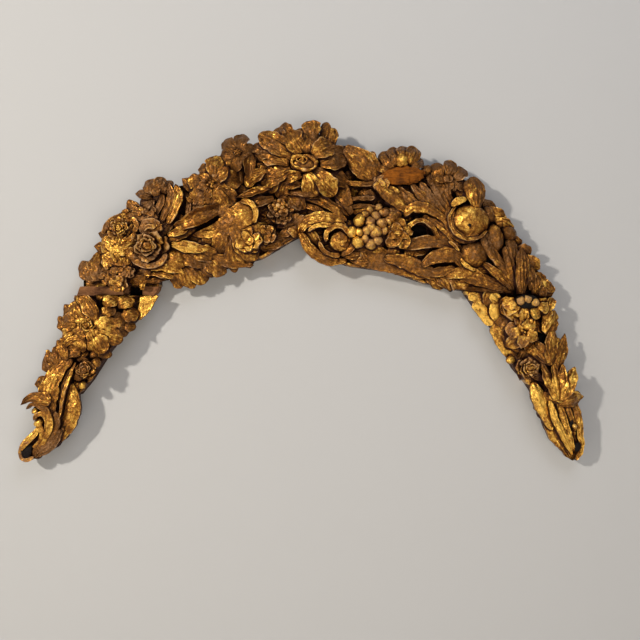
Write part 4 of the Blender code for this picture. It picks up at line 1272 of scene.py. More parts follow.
# the flower at the upper right and, below it, the seat of one that has broken away
def brokenFlower():
    leaves((
        (-15, -14, 122, 42, 28, 26, 0.6), (-8, -8, 100, 40, 26, 28, 0.5), (8, 4, 92, 30, 28, 28, 0.5),
        (21, -6, 74, 40, 32, 28, 0.5), (24, -12, 36, 30, 26, 24, 0.35), (-20, -16, 160, 34, 24, 24, 0.45),
    ), blunt=0.9, belly=0.62, rise=9, bend=22, ribs=4, rim=2.4)
    ball(3, 2, 16, 38, flat=0.8, grooves=5, tone=0.95)
    ball(57, -17, 13, 24, grooves=4, tone=0.2)
    ball(-59, 12, 12, 24, grooves=4, tone=0.3)
    addShell(hoopShell(7, 7, 4, 8), -59, 12, 0, 26, tone=0.5)
    current["dust"] = 1.2
    bloom(-40, -46, 17, 32, petals=7, tone=0.9)
    current["dust"] = 0.2
    leaf(-52, -44, -38, 98, 34, 32, sideVeins=9, ribs=2, gouge=2.0, tone=0.65)
    ball(-16, -116, 15, 34, grooves=5, tone=0.7)
    ball(-30, -106, 11, 32, grooves=4, tone=0.5)
    leaf(-20, -98, -60, 40, 22, 26, ribs=4, tone=0.45)
    strands((
        (0.35, ((-6, -52, 9, 22), (14, -72, 19, 27), (36, -94, 18, 28), (56, -108, 9, 26))),
        (0.7, ((24, -46, 9, 26), (42, -70, 19, 31), (62, -92, 17, 30), (80, -104, 8, 28))),
        (0.45, ((42, -42, 9, 24), (62, -72, 18, 29), (82, -98, 15, 28), (98, -112, 8, 26))),
        (0.3, ((60, -26, 12, 20), (76, -58, 18, 26), (94, -88, 15, 26), (106, -106, 8, 24))),
        (0.4, ((84, -30, 12, 20), (97, -62, 17, 24), (110, -92, 10, 24))),
    ), gouge=1.8)


# The crown, right part

# a curled leaf over arched bands and a half-round opening, with broad smooth leaves below
def ribbons():
    strands((
        (0.7, ((-62, -4, 10, 24), (-47, 11, 20, 33), (-22, 12, 22, 36), (6, -1, 17, 33),
               (38, -26, 10, 28))),
        (0.6, ((-60, -40, 7, 22), (-48, -22, 9, 29), (-27, -14, 9, 31), (-4, -28, 9, 29),
               (12, -54, 8, 22))),
        (0.65, ((-22, -4, 8, 25), (12, -25, 12, 28), (36, -50, 11, 28), (50, -70, 7, 24))),
        (0.45, ((8, -6, 8, 24), (34, -36, 11, 26), (58, -62, 8, 24))),
        (0.35, ((-16, -14, 7, 20), (10, -36, 9, 22), (30, -60, 8, 20))),
    ))
    # a black dome of negative tone: painted shade in the half-round opening
    ball(-27, -36, 18, -8, flat=0.4, tone=-1.0)
    strands((
        (0.3, ((-82, -62, 12, 16), (-50, -64, 24, 20), (-10, -58, 26, 22), (30, -62, 22, 22),
               (60, -74, 10, 18))),
        (0.5, ((-26, -110, 10, 16), (0, -92, 26, 24), (36, -86, 31, 26), (64, -94, 14, 20))),
        (0.25, ((-22, -126, 9, 12), (12, -122, 20, 16), (46, -112, 11, 16))),
        (0.5, ((-104, -92, 14, 12), (-66, -98, 28, 16), (-24, -116, 28, 15), (12, -132, 18, 10))),
        (0.6, ((24, -132, 10, 14), (50, -124, 22, 18), (84, -124, 22, 18), (108, -134, 10, 14))),
    ), ribs=2, gouge=0.9, cup=-0.2, rim=2.0)
    strand(((-92, -50, 8, 26), (-78, -58, 18, 30), (-62, -64, 10, 26)), tone=0.8, ribs=3)
    strand(((-96, -34, 8, 28), (-80, -40, 16, 34), (-66, -36, 9, 30)), tone=0.9, ribs=3)


# the dark flower near the shoulder, and the tall ribbed leaf beside it
def uprightPod():
    bloom(-4, -2, 30, 26, petals=8, spread=1.4, tone=0.2)
    leaves((
        (-14, 0, 118, 34, 28, 24, 0.25), (2, 4, 84, 34, 28, 26, 0.2), (12, -2, 40, 34, 26, 24, 0.4),
        (10, -12, -10, 34, 24, 20, 0.15), (-8, -12, -86, 40, 24, 20, 0.3), (-18, -6, 170, 30, 24, 20, 0.2),
    ), blunt=0.9, belly=0.6, rise=9, bend=20, ribs=4, rim=2.2)
    ball(-4, -2, 10, 32, grooves=4, tone=0.1)
    leaf(60, -64, 96, 64, 40, 28, blunt=0.95, belly=0.6, rise=10, bend=16, ribs=4, gouge=2.2, cup=-0.4,
         tone=0.6)
    leaf(38, -42, 97, 38, 18, 22, blunt=0.9, belly=0.6, ribs=2, tone=0.4)
    strand(((6, -60, 9, 34), (18, -50, 15, 40), (36, -46, 9, 36)), tone=0.95, ribs=1, gouge=0.5)
    strand(((10, -16, 8, 18), (24, -34, 10, 20), (34, -50, 8, 18)), tone=0.0)


# the largest fruit in the bend of its husk, with smaller fruit beside and below it
def pomegranate():
    addShell(ballShell(44, flat=0.7, tall=0.84, seed=4), 1, 1, -10, 42, tone=0.8)
    strand(((-34, 22, 8, 31), (-39, 0, 9, 34), (-30, -22, 9, 35), (-8, -32, 9, 34), (18, -27, 8, 32)),
           tone=0.6, ribs=1)
    # a black spot of negative tone: painted shade at the fruit's eye
    ball(-2, -9, 4, 43, flat=0.3, tone=-1.0)
    strands((
        (0.8, ((-28, 36, 5, 30), (-43, 8, 6, 36), (-34, -22, 6, 38), (-9, -37, 6, 38), (18, -34, 6, 35),
               (38, -18, 5, 29))),
        (0.5, ((-40, 34, 6, 24), (-49, 8, 8, 28), (-41, -22, 8, 29), (-17, -40, 8, 28), (13, -40, 6, 26))),
        (0.35, ((-50, 18, 6, 18), (-55, -8, 8, 22), (-44, -36, 8, 22), (-20, -54, 6, 20))),
        (0.9, ((-44, -40, 4, 28), (-32, -50, 6, 30), (-22, -60, 4, 28))),
        (0.5, ((22, -18, 9, 24), (38, -56, 13, 27), (64, -92, 9, 22))),
        (0.35, ((34, -18, 9, 20), (47, -52, 13, 22), (74, -88, 9, 18))),
    ), ribs=1, gouge=0.3)
    addShell(ballShell(16, flat=1.0, tall=1.9, grooves=2, seed=8), 57, -32, 8, 30, tone=0.7)
    addShell(ballShell(12, flat=0.9, tall=1.5, grooves=2, seed=9), 44, 17, 24, 20, tone=0.1)
    ball(68, -3, 8, 14, tone=0.1)
    ball(88, -23, 17, 20, grooves=3, tone=-0.05)
    leaf(96, -84, 98, 50, 26, 18, blunt=0.9, belly=0.6, ribs=3, tone=0.45)
    ball(11, -67, 31, 33, flat=0.85, tone=0.65)
    strands((
        (1.2, ((-18, -76, 5, 22), (-6, -92, 8, 26), (14, -101, 5, 22))),
        (0.45, ((-36, -64, 6, 22), (-24, -84, 9, 24), (-14, -96, 6, 20))),
    ), ribs=1)
    # a black dome of negative tone: painted shade in an opening below the fruit
    ball(46, -84, 12, -6, flat=0.4, tone=-1.0)


# leaves that spread like a fan from the right joint
def rightFan():
    strands((
        (0.65, ((2, -2, 7, 12), (-46, 17, 24, 18), (-88, 30, 27, 18), (-126, 38, 10, 14))),
        (0.45, ((2, -4, 6, 8), (-46, 1, 12, 12), (-102, 6, 7, 8))),
    ), ribs=4, gouge=1.8)
    strands((
        (0.85, ((4, 2, 8, 16), (-27, 32, 19, 24), (-62, 60, 9, 22))),
        (0.3, ((6, 6, 8, 16), (-14, 40, 19, 22), (-38, 74, 10, 20))),
        (0.5, ((8, 10, 9, 18), (-3, 48, 20, 24), (-16, 94, 12, 22))),
    ), gouge=1.8)
    leaves((
        (18, -6, 88, 92, 30, 28, 0.8), (38, 2, 87, 54, 17, 22, 0.6), (48, -6, 88, 42, 22, 20, 0.7),
        (68, -16, 104, 46, 20, 14, 0.4), (58, -14, 90, 30, 14, 10, 0.3),
    ), ribs=4, gouge=2.4, rise=8, bend=18, blunt=0.5, belly=0.55)


# The left leg

# the leg's great rose, with round petals and fruit about it and leaves at the outer edge
def leftRose():
    for dx, dz, radius, proud, tone in (
        (-19, 29, 19, 26, 1.0), (-36, 2, 18, 22, 0.8), (-42, -23, 15, 18, 0.55), (46, 48, 14, 26, 1.2),
        (42, 26, 12, 28, 0.9), (74, 46, 15, 18, 0.5), (84, 19, 14, 16, 0.5), (82, -6, 10, 12, 0.5),
        (36, -4, 19, 34, 1.15), (19, -38, 21, 30, 1.1), (-15, -44, 12, 26, 1.0), (50, -27, 16, 22, 0.7),
        (2, 36, 14, 26, 0.5), (60, 8, 14, 20, 0.6), (64, -16, 12, 14, 0.5), (30, -60, 11, 10, 0.5),
        (12, -22, 14, 34, 0.8), (24, 12, 14, 32, 0.7), (-14, -18, 15, 30, 0.7), (-10, 12, 14, 32, 0.75),
        (58, 52, 12, 14, 0.4), (24, 62, 11, 16, 0.6),
    ):
        petal(dx, dz, math.degrees(math.atan2(dz, dx)), 2.25 * radius, proud, 0.35 + 0.4 * tone)
    rose(1, -1, 20, 41, turn=10, tone=0.6)
    leaf(20, 8, 112, 62, 28, 36, rise=10, bend=20, sway=24, ribs=6, gouge=1.6, tone=0.5)
    leaf(2, 30, 118, 48, 22, 28, sway=26, ribs=3, tone=0.75)
    leaf(-4, 56, 120, 32, 15, 26, sway=30, tone=0.7)
    for dx, dz, turn, length in (
        (-8, 34, 116, 48), (-26, 8, 134, 42), (-42, -25, 124, 46), (-30, -6, 128, 40),
    ):
        leaf(dx, dz, turn, length, 26, 10, ribs=4, gouge=1.6, blunt=0.5, tone=0.4)
    strands((
        (0.5, ((4, -36, 9, 24), (-18, -30, 16, 28), (-42, -38, 14, 24), (-54, -46, 8, 18))),
        (0.6, ((0, -46, 8, 20), (-22, -44, 14, 24), (-46, -52, 8, 16))),
    ), ribs=3, gouge=1.8)
    # the plain gilded board at the inner corner
    strand(((126, 80, 48, 1), (122, 60, 38, 1), (117, 42, 29, 1), (108, 24, 20, 1), (98, 8, 9, 0)),
           tone=1.1, ribs=1, gouge=0.2, cuts=0.8,
           cup=0.0, rim=0.0, round=0.02)


# the small rose, with an arching leaf and layered leaves at the outer edge
def leftFoliage():
    rose(43, 13, 22, 32, turn=20, tone=0.6)
    ball(63, 25, 12, 24, grooves=4, tone=0.8)
    ball(58, 42, 9, 18, tone=0.5)
    ball(34, -22, 9, 18, grooves=3, tone=1.1)
    ball(24, -4, 10, 20, tone=0.2)
    leaf(-37, -32, 136, 34, 27, 12, blunt=1.0, ribs=4, gouge=2.0, tone=0.5)
    leaves((
        (-28, 0, 116, 42, 24, 14, 0.4), (-12, 22, 108, 38, 24, 20, 0.55), (-20, 12, 122, 44, 22, 16, 0.5),
        (2, 32, 118, 44, 24, 20, 0.45), (36, 58, 160, 50, 26, 22, 0.6), (30, 46, 178, 40, 20, 18, 0.4),
        (52, 52, 60, 40, 20, 12, 0.4), (70, 60, 40, 34, 18, 8, 0.4),
    ), ribs=4, gouge=1.8, blunt=0.6)


# a leaf curled on itself that ends the leg: limbs, hooks and ridges that run down into an open tip
def leftTail():
    strand((
        (14, 66, 40, -2), (6, 32, 64, 0), (-2, 0, 78, 2), (-12, -32, 70, 0), (-32, -60, 58, -2),
        (-54, -80, 48, -4), (-70, -92, 38, -6), (-80, -100, 22, -8),
    ), tone=0.0, ribs=6, gouge=2.4, cup=-0.22, root=1.0)
    strand((
        (24, 56, 14, 10), (28, 24, 28, 14), (25, -4, 34, 13), (14, -30, 34, 9), (-6, -56, 28, 5),
        (-30, -78, 20, 2), (-52, -94, 12, 0),
    ), tone=0.8, ribs=3, gouge=1.4, cuts=1.2, cup=-0.3, rim=0.0)
    strand(((-16, -30, 14, 16), (-22, 2, 32, 20), (-22, 36, 42, 23), (-11, 70, 34, 22), (8, 93, 24, 21),
            (30, 108, 12, 18)), tone=0.7, ribs=4, gouge=1.4, cuts=1.4, cup=-0.22)
    strands((
        (-0.1, ((34, 92, 8, 12), (18, 72, 11, 14), (7, 44, 11, 14), (1, 14, 8, 12))),
        (0.8, ((36, 102, 4, 20), (26, 76, 6, 22), (13, 42, 6, 22), (6, 10, 6, 20), (-2, -22, 4, 16))),
        (0.9, ((-22, 6, 9, 24), (-17, -20, 12, 24), (-21, -42, 12, 18), (-34, -66, 8, 9),
               (-50, -84, 5, 3))),
        (0.2, ((-6, -2, 9, 20), (-4, -28, 12, 18), (-17, -56, 12, 12), (-40, -80, 8, 5),
               (-58, -94, 5, -1))),
        (0.6, ((-54, -22, 7, 12), (-47, -10, 10, 20), (-34, -6, 11, 22), (-25, -17, 11, 20),
               (-26, -42, 11, 15), (-33, -66, 8, 8))),
        (0.7, ((-44, -30, 9, 12), (-38, -46, 10, 12), (-44, -66, 8, 6), (-60, -80, 6, 2))),
        (0.95, ((-42, -36, 9, 10), (-60, -56, 13, 9), (-78, -74, 12, 7), (-85, -88, 9, 4))),
        (0.1, ((8, -36, 9, 10), (-6, -60, 10, 6), (-30, -84, 9, 0), (-52, -102, 6, -5))),
    ), ribs=1, gouge=0.5, cuts=0.8)
    strand(((-83, 10, 3, 8), (-71, 20, 10, 18), (-55, 28, 19, 26), (-37, 27, 28, 29), (-14, 20, 32, 28)),
           tone=0.5, ribs=3, gouge=1.6, round=0.2)
    strand(((-70, 3, 4, 12), (-57, 13, 8, 20), (-38, 10, 11, 24), (-23, -2, 11, 24), (-20, -20, 8, 18)),
           tone=0.3, ribs=2)
    strand(((-34, 14, 22, 2), (-38, -8, 26, 4), (-40, -30, 24, 2), (-50, -52, 22, 0)), tone=0.3, ribs=3,
           root=1.0)
    ball(-52, -2, 9, 14, grooves=3, tone=1.1)
    ball(-45, -28, 10, 16, grooves=3, tone=1.0)
    strand(((4, -40, 10, 16), (-10, -62, 20, 13), (-30, -82, 22, 9), (-52, -98, 12, 4)), tone=0.0, ribs=3,
           gouge=1.6)
    # the open end of the curl, with a black disc of negative tone as painted shade in its opening
    addShell(ballShell(10, flat=0.2, tall=1.7, seed=5), -72, -88, -20, 2, tone=-1.0)
    current["dust"] = 0.9
    strand(((-64, -66, 6, 8), (-80, -74, 7, 7), (-87, -90, 6, 5), (-84, -104, 6, 3), (-72, -107, 8, 4),
            (-58, -100, 8, 5)),
           tone=0.9, ribs=1, gouge=0.4)
    current["dust"] = 0.0
    strand(((-58, -104, 8, -2), (-54, -92, 14, 2), (-44, -76, 14, 5), (-34, -58, 8, 8)), tone=0.5, ribs=2,
           root=1.0)


# The right leg

# a rose that the joint cuts through, so that only its lower petals are on the leg
def halfRose():
    for turn, length, width, proud, tone in (
        (184, 42, 26, 26, 0.6), (204, 44, 26, 30, 0.75), (226, 38, 28, 30, 0.6), (252, 36, 30, 30, 0.5),
        (280, 36, 30, 28, 0.6), (306, 36, 28, 28, 0.5), (332, 40, 26, 26, 0.55), (352, 42, 24, 22, 0.4),
    ):
        angle = math.radians(turn)
        leaf(20 * math.cos(angle), 4 + 12 * math.sin(angle), turn, length - 12, width, proud,
             rise=10, bend=24, blunt=0.9, belly=0.62, ribs=6, gouge=1.6, cup=-0.1, tone=tone)
    # a black dome of negative tone: painted shade in the rose's hollow heart
    addShell(ballShell(25, flat=0.3, tall=0.62, seed=6), 0, 5, 0, 42, tone=-1.0)
    current["dust"] = 1.6
    for dx, dz, radius in ((-14, 7, 9), (1, 10, 9.5), (16, 3, 9)):
        ball(dx, dz, radius, 47, grooves=2, tone=0.9)
    current["dust"] = 0.0
    for dx, dz, turn, size in (
        (-30, 2, 190, 26), (-20, -12, 220, 26), (-2, -18, 268, 28), (18, -16, 310, 26), (33, -4, 346, 24),
    ):
        petal(dx * 1.1, dz - 2, turn, size, 36, 0.6, rise=4, ribs=4)
    strands((
        (0.5, ((-46, -2, 5, 22), (-38, -20, 8, 26), (-24, -34, 7, 24))),
    ), ribs=1)
    strand(((-116, 20, 22, 2), (-96, 17, 24, 2), (-76, 15, 22, 2)), tone=0.7, ribs=1, gouge=0.2, cuts=0.5,
           cup=0.0, rim=0.0, round=0.02)
    strand(((-106, 2, 16, 1), (-92, -8, 24, 1), (-78, -26, 24, 1), (-66, -44, 16, 0)), tone=0.8, ribs=1,
           gouge=0.2, cuts=0.5, cup=0.0, rim=0.0)
    leaf(-64, 4, -66, 42, 32, 8, ribs=1, gouge=0.4, blunt=0.5, cuts=0.4, tone=1.3)
    leaf(-72, 20, -30, 34, 22, 10, ribs=1, tone=1.1)
    leaf(44, -34, 76, 38, 20, 14, tone=0.05)
    leaf(52, -12, 70, 30, 18, 14, tone=0.4)
    leaf(52, -44, 60, 34, 26, 12, blunt=0.7, ribs=3, tone=0.5)


# the small flower below the rose, and the overlapping leaves under it
def stripedLeaves():
    flower(0, 0, 36, 5, 28, turn=15, heart=0.26, bend=22, blunt=0.75, cup=-0.1, ribs=5, layers=2, seeds=5,
           uneven=0.34, tone=0.6)
    current["dust"] = 0.0
    # a black ball of negative tone: painted shade in an opening
    ball(46, -14, 9, -4, tall=2.0, tone=-1.0)
    strand(((-60, 14, 18, 0), (-46, -8, 26, 1), (-30, -34, 28, 1), (-16, -56, 14, 0)), tone=0.85, ribs=1,
           gouge=0.3, cuts=0.4, cup=0.0, rim=0.0)
    leaf(48, -2, 52, 38, 34, 16, blunt=0.7, ribs=4, tone=0.55)
    leaf(57, -66, 84, 74, 28, 24, ribs=3, gouge=1.8, tone=0.55)
    leaf(72, -85, 74, 78, 28, 14, ribs=4, gouge=1.8, tone=0.5)
    for turn, length, width, proud in (
        (152, 72, 18, 12), (142, 68, 16, 18), (132, 64, 14, 20), (120, 62, 14, 22),
    ):
        leaf(59, -69, turn, length, width, proud, ribs=2, gouge=1.4, tone=0.35)
    leaf(7, -41, 134, 64, 36, 7, ribs=1, gouge=0.4, tone=0.6)
    ball(76, -18, 7, 16, tone=0.5)
    ball(-22, -60, 10, 14, tone=0.95)


# the small rose, with upright petals beside it above the tail
def rightHusk():
    rose(-63, 67, 24, 28, turn=30, tone=0.45)
    current["dust"] = 0.0
    leaf(-86, 92, -80, 50, 16, 6, tone=0.5)
    leaf(-30, 40, 150, 40, 14, 10, tone=0.2)
    for dx, dz, turn, length, width, tone in (
        (-6, 0, 112, 78, 22, 0.6), (-2, 0, 98, 74, 20, 0.75), (1, 0, 84, 70, 20, 0.7),
        (4, 0, 66, 70, 26, 0.6),
    ):
        leaf(dx, dz, turn, length, width, 24, ribs=2, gouge=1.8, blunt=0.5, rise=8, tone=tone)
    leaf(0, -8, 18, 52, 30, 20, blunt=0.7, rise=10, bend=22, ribs=4, tone=0.5)
    leaf(-2, -6, 150, 40, 16, 18, tone=0.4)


# a long pointed leaf that ends the leg, with ribs that run together at its point
def rightTail():
    strand((
        (-16, 30, 64, 6), (-6, 8, 84, 10), (2, -16, 88, 11), (8, -44, 78, 10), (20, -82, 58, 6),
        (32, -112, 36, 1), (37, -132, 14, -6),
    ), tone=0.55, ribs=7, gouge=3.2, cup=-0.26, root=1.0)
    strand(((-52, 36, 14, 8), (-44, 10, 28, 16), (-36, -14, 28, 16), (-25, -38, 20, 13), (-12, -66, 9, 9)),
           tone=0.95, ribs=2, gouge=1.0, cup=-0.4, cuts=0.8)
    strands((
        (0.9, ((-20, 0, 9, 17), (-7, -42, 14, 18), (14, -84, 12, 13), (32, -118, 6, 4))),
        (0.75, ((-2, 0, 9, 17), (11, -42, 13, 17), (25, -80, 10, 13), (36, -112, 6, 5))),
        (0.45, ((14, 0, 9, 15), (25, -34, 11, 15), (36, -66, 8, 12))),
        (0.4, ((32, -2, 14, 11), (43, -36, 15, 11), (49, -76, 13, 8), (52, -110, 10, 2),
               (43, -132, 7, -5))),
    ), ribs=2, gouge=1.2)
    leaf(-22, 8, -6, 66, 22, 20, bend=18, ribs=3, tone=0.7)
    leaf(6, 2, 4, 48, 24, 22, bend=24, ribs=3, blunt=0.3, tone=0.6)
    # a black disc of negative tone: painted shade in an opening along the leaf
    ball(27, -51, 5, 15, flat=0.25, tall=1.5, tone=-1.0)
    current["dust"] = 1.2
    ball(34, -56, 6, 20, tone=1.2)
    current["dust"] = 0.0
    # a black disc of negative tone: painted shade in an opening near the point
    ball(42, -101, 7, 8, flat=0.25, tall=1.5, tone=-1.0)


# The boards: each runs between an outer and an inner edge, with its ground sunk between plain margins

crownEdges = {
    "outer": [
        (-469, -232.8), (-469, -215), (-440, -182), (-421, -135), (-378, -96), (-342, -50), (-293, -22),
        (-229, -13), (-186, 27), (-123, 57), (-59, 67), (-6, 93), (48, 93), (75, 61), (118, 48), (175, 29),
        (250, 18), (324, 6), (377, -33), (414, -75), (446, -113), (478, -160), (516, -220), (527, -235),
        (529, -256.8),
    ],
    "inner": [
        (-306, -232.8), (-306, -220), (-293, -203), (-218, -194), (-144, -188), (-86, -173), (-27, -137),
        (1, -122), (26, -167), (101, -190), (186, -201), (260, -226), (322, -235), (322, -239.8),
    ],
    "outerMargin": -12, "innerMargin": 5, "rows": 420,
}
leftEdges = {
    "outer": [(-476, -233.2), (-495, -284), (-512, -337), (-529, -379), (-533, -433), (-526, -462),
              (-516, -471)],
    "inner": [(-307.5, -233.2), (-309, -240), (-325, -262), (-338, -286), (-374, -322), (-414, -373),
              (-452, -433), (-478, -465)],
    "outerMargin": -12, "innerMargin": 4, "rows": 110,
}
rightEdges = {
    "outer": [(529, -257.2), (531, -296), (543, -337), (558, -401), (571, -454), (578, -496), (560, -504)],
    "inner": [(345, -243), (365, -273), (386, -296), (414, -333), (433, -369), (452, -409), (480, -441),
              (501, -475), (522, -507)],
    "outerMargin": -12, "innerMargin": 22, "rows": 120,
}
# The plain band without gold at the top of the left leg, and the notch in it, painted black as shade
lapLook = {
    "height": 20.0, "depth": 6.0, "notchAt": -356.0, "notchHalf": 14.0, "notchDepth": 22.0,
    "notchSlope": 5.0,
}
boardLook = {
    "spans": 44,        # across each board
    "slope": 8.0,       # from the margin down to the sunk ground
    "chop": ((1.6, 16.0, 21), (0.5, 7.0, 22)),  # height, spacing and seed of the uneven ground and face
    "sink": 0.8,
    "arris": 1.5,       # how much the very edge is worn down
    "sideLevels": (0.75, 0.4, 0.0),
}


def alongEdge(points, count):
    points = np.array(points, dtype=float)
    run = np.concatenate([[0], np.cumsum(np.hypot(*np.diff(points, axis=0).T))])
    where = np.linspace(0, run[-1], count)
    return np.stack([np.interp(where, run, points[:, 0]), np.interp(where, run, points[:, 1])], axis=-1)


def boardShell(edges, lapTop=None):
    look = boardLook
    outer = alongEdge(edges["outer"], edges["rows"])
    inner = alongEdge(edges["inner"], edges["rows"])
    t = np.linspace(0, 1, look["spans"] + 1)[None, :]
    width = np.hypot(*(inner - outer).T)[:, None]
    x = outer[:, :1] * (1 - t) + inner[:, :1] * t
    z = outer[:, 1:] * (1 - t) + inner[:, 1:] * t
    sunk = smoothStep(0, look["slope"], t * width - edges["outerMargin"])
    sunk = sunk * smoothStep(0, look["slope"], (1 - t) * width - edges["innerMargin"])
    rough, fine = (
        amount * grainField(x / spacing, z / spacing, seed) for amount, spacing, seed in look["chop"]
    )
    chop = rough * sunk + fine - look["sink"]
    face = boardFace - (boardFace - groundHeight) * sunk + chop - look["arris"] * ((t == 0) | (t == 1))
    if lapTop is not None:
        notch = smoothStep(0, lapLook["notchSlope"], lapLook["notchHalf"] - np.abs(x - lapLook["notchAt"]))
        lapFace = boardFace - lapLook["depth"] + 2.0 * chop - notch * lapLook["notchDepth"]
        face = np.where(z > lapTop - lapLook["height"], lapFace, face)
    sides = [
        np.stack([edge[:, 0], np.full(len(edge), -boardFace * level), edge[:, 1]], axis=-1)
        for edge, levels in ((inner, look["sideLevels"]), (outer, look["sideLevels"][::-1]))
        for level in levels
    ]
    top = np.stack([x, -face, z], axis=-1)
    return tube(np.concatenate([top, np.stack(sides, axis=1)], axis=1))


# the seat of the flower that has broken away, in bare wood
def brokenSeat():
    addShell(ballShell(46, flat=0.16, tall=0.42, rough=2.6, seed=3), 0, 0, 2, 33, tone=0.5, crumple=2.2)


# Each piece's groups in order: the origin of each, its shift of tone and its dust
pieceGroups = {
    "crownLeftCarving": (
        (leftShoulder, (-389, -217), 0.0, 0.3), (cupFlower, (-384, -160), -0.15, 0.0),
        (cabbageRoses, (-321, -152), -0.1, 0.5), (halfOpenTulip, (-274, -102), -0.3, 0.45),
        (secondFlower, (-189, -21), -0.25, 0.0), (longLeaves, (-272, -134), 0.0, 0.0),
    ),
    "crownMiddleCarving": (
        (acanthus, (-159, -113), -0.15, 0.0), (mulberry, (-47, -69), -0.1, 0.35),
        (greatFlower, (4, 20), -0.2, 0.0), (caves, (132, -21), -0.1, 0.0), (volute, (79, -143), 0.0, 0.0),
    ),
    "crownRightCarving": (
        (bunchOfBerries, (141, -114), 0.0, 0.3), (brokenFlower, (205, 27), -0.1, 0.0),
        (ribbons, (276, -82), -0.1, 0.0), (uprightPod, (306, -7), -0.1, 0.0),
        (pomegranate, (350, -99), -0.15, 0.0), (rightFan, (442, -244), -0.45, 0.0),
    ),
    "brokenSeat": ((brokenSeat, (209, -3), 0.0, 0.0),),
    "leftLegCarving": (
        (leftRose, (-450, -313), 0.0, 0.0), (leftFoliage, (-499, -421), 0.0, 0.0),
        (leftTail, (-514, -496), 0.0, 0.0),
    ),
    "rightLegCarving": (
        (halfRose, (468, -272), 0.6, 0.0), (stripedLeaves, (463, -330), 0.2, 0.5),
        (rightHusk, (541, -473), 0.2, 0.7), (rightTail, (541, -473), 0.55, 0.0),
    ),
}

for name, groups in pieceGroups.items():
    for group, origin, shift, dust in groups:
        startPiece(name, origin, shift, dust)
        group()
    print(name, "is carved")


# The joints: nothing of one length passes the line where the next begins

jointLook = {
    "left": -233.0,
    "right": ((322.0, -240.0), (540.0, -258.0)),
    "gap": 0.15,
    "leftEnd": -295.0,     # the crown is trimmed at the left joint only on this side of it
    "overhang": 13.0,      # how far the crown's carving hangs down over the lap
    "clear": 1.0,          # how far above the board it does so
    "inside": 0.5,         # everything stays this far inside the solids' box
}


def trimAtJoint(name, place):
    look = jointLook
    x = place[:, 0]
    (firstX, firstZ), (lastX, lastZ) = look["right"]
    rightLine = firstZ + (lastZ - firstZ) * (x - firstX) / (lastX - firstX)
    if name == "leftLegCarving":
        place[:, 2] = np.minimum(place[:, 2], look["left"] - look["gap"] - lapLook["height"])
    elif name == "rightLegCarving":
        place[:, 2] = np.minimum(place[:, 2], rightLine - look["gap"])
    elif name == "crownLeftCarving":
        beside = x < look["leftEnd"]
        standsClear = -place[:, 1] > boardFace + look["clear"]
        lowest = np.where(standsClear, look["left"] - look["overhang"], look["left"] + look["gap"])
        place[beside, 2] = np.maximum(place[beside, 2], lowest[beside])
    else:
        beside = x > firstX
        place[beside, 2] = np.maximum(place[beside, 2], rightLine[beside] + look["gap"])
    for axis in (0, 2):
        low, high = (corner[axis] / mm for corner in cadBox)
        place[:, axis] = np.clip(place[:, axis], low + look["inside"], high - look["inside"])
    return place


# Where dirt gathers and shade is painted, and where the leaf is rubbed and highlights are painted: read from
# a map of the carving's heights

mapLook = {"cell": 1.2, "border": 12.0, "near": 5.0, "far": 22.0, "fine": 2.6}


# the mean over a square of cells, along one axis and then the other
def boxBlur(grid, radius):
    size = 2 * radius + 1
    for _ in range(2):
        sums = np.cumsum(np.pad(grid, [(radius + 1, radius), (0, 0)], mode="edge"), axis=0)
        grid = ((sums[size:] - sums[:-size]) / size).T
    return grid


# the largest or the smallest of each cell and its eight neighbours
def ofNeighbours(grid, pick):
    return pick([np.roll(grid, (dx, dz), (0, 1)) for dx in (-1, 0, 1) for dz in (-1, 0, 1)], axis=0)


def cellsOf(place, corner, size):
    return tuple(np.clip(((place - corner) / mapLook["cell"]).astype(int), 0, np.array(size) - 1).T)


# the heights of the carving seen from the front, blurred to three widths
def makeMaps():
    corner, far = (np.array(end)[[0, 2]] / mm for end in cadBox)
    corner = corner - mapLook["border"]
    size = ((far + mapLook["border"] - corner) / mapLook["cell"]).astype(int) + 1
    grid = np.zeros(size)
    for shells in carving.values():
        for place, *_ in shells:
            np.maximum.at(grid, cellsOf(place[:, [0, 2]], corner, size), -place[:, 1])
    for _ in range(2):
        grid = np.where(grid < 1, ofNeighbours(grid, np.max), grid)
    heights = ofNeighbours(ofNeighbours(grid, np.max), np.min)
    maps = {"corner": corner, "size": size}
    for key in ("near", "far", "fine"):
        reachCells = max(1, round(mapLook[key] / mapLook["cell"] / 2))
        maps[key] = boxBlur(boxBlur(heights, reachCells), reachCells)
    return maps


# Small leaves that fill the ground wherever the flowers leave it low

clearings = (  # place and radius of the openings that stay dark and deep, and of the plain board
    (-326, -250, 26), (-344, -280, 20), (350, -262, 26), (375, -276, 22), (398, -292, 16), (117, -10, 14),
    (135, -10, 12), (119, -40, 12), (140, -62, 9), (249, -118, 20), (47, -147, 12), (396, -183, 12),
    (150, 6, 12), (-92, -66, 14), (-126, -62, 12), (-196, -132, 12), (-330, -216, 14), (-500, -418, 8),
    (-584, -582, 16), (508, -344, 8), (470, -440, 10),
)
undergrowthLook = {
    "alongMm": 13.0,
    "acrossMm": 12.0,
    "jitterMm": 8.0,
    "below": 45.0,           # only where the carving is lower than this
    "outerRoom": 4.0,
    "innerRoom": 6.0,        # beyond the plain margin
    "edgeMm": 24.0,          # near an edge the leaves lie more along it
    "swing": (110, 36),      # of the turn in the middle and near an edge, degrees
    "length": (28, 50),
    "width": (16, 26),
    "proud": (-3, 11),
    "tone": (0.2, 0.9),
    "shape": {"bend": 8, "rise": 6, "blunt": 0.7, "belly": 0.55, "ribs": 3},
}
# The pieces with undergrowth: the edges it lies between and the stretch from left to right
undergrowthPieces = (
    ("crownLeftCarving", crownEdges, -math.inf, -170), ("crownMiddleCarving", crownEdges, -170, 130),
    ("crownRightCarving", crownEdges, 130, math.inf), ("leftLegCarving", leftEdges, -math.inf, math.inf),
    ("rightLegCarving", rightEdges, -math.inf, math.inf),
)


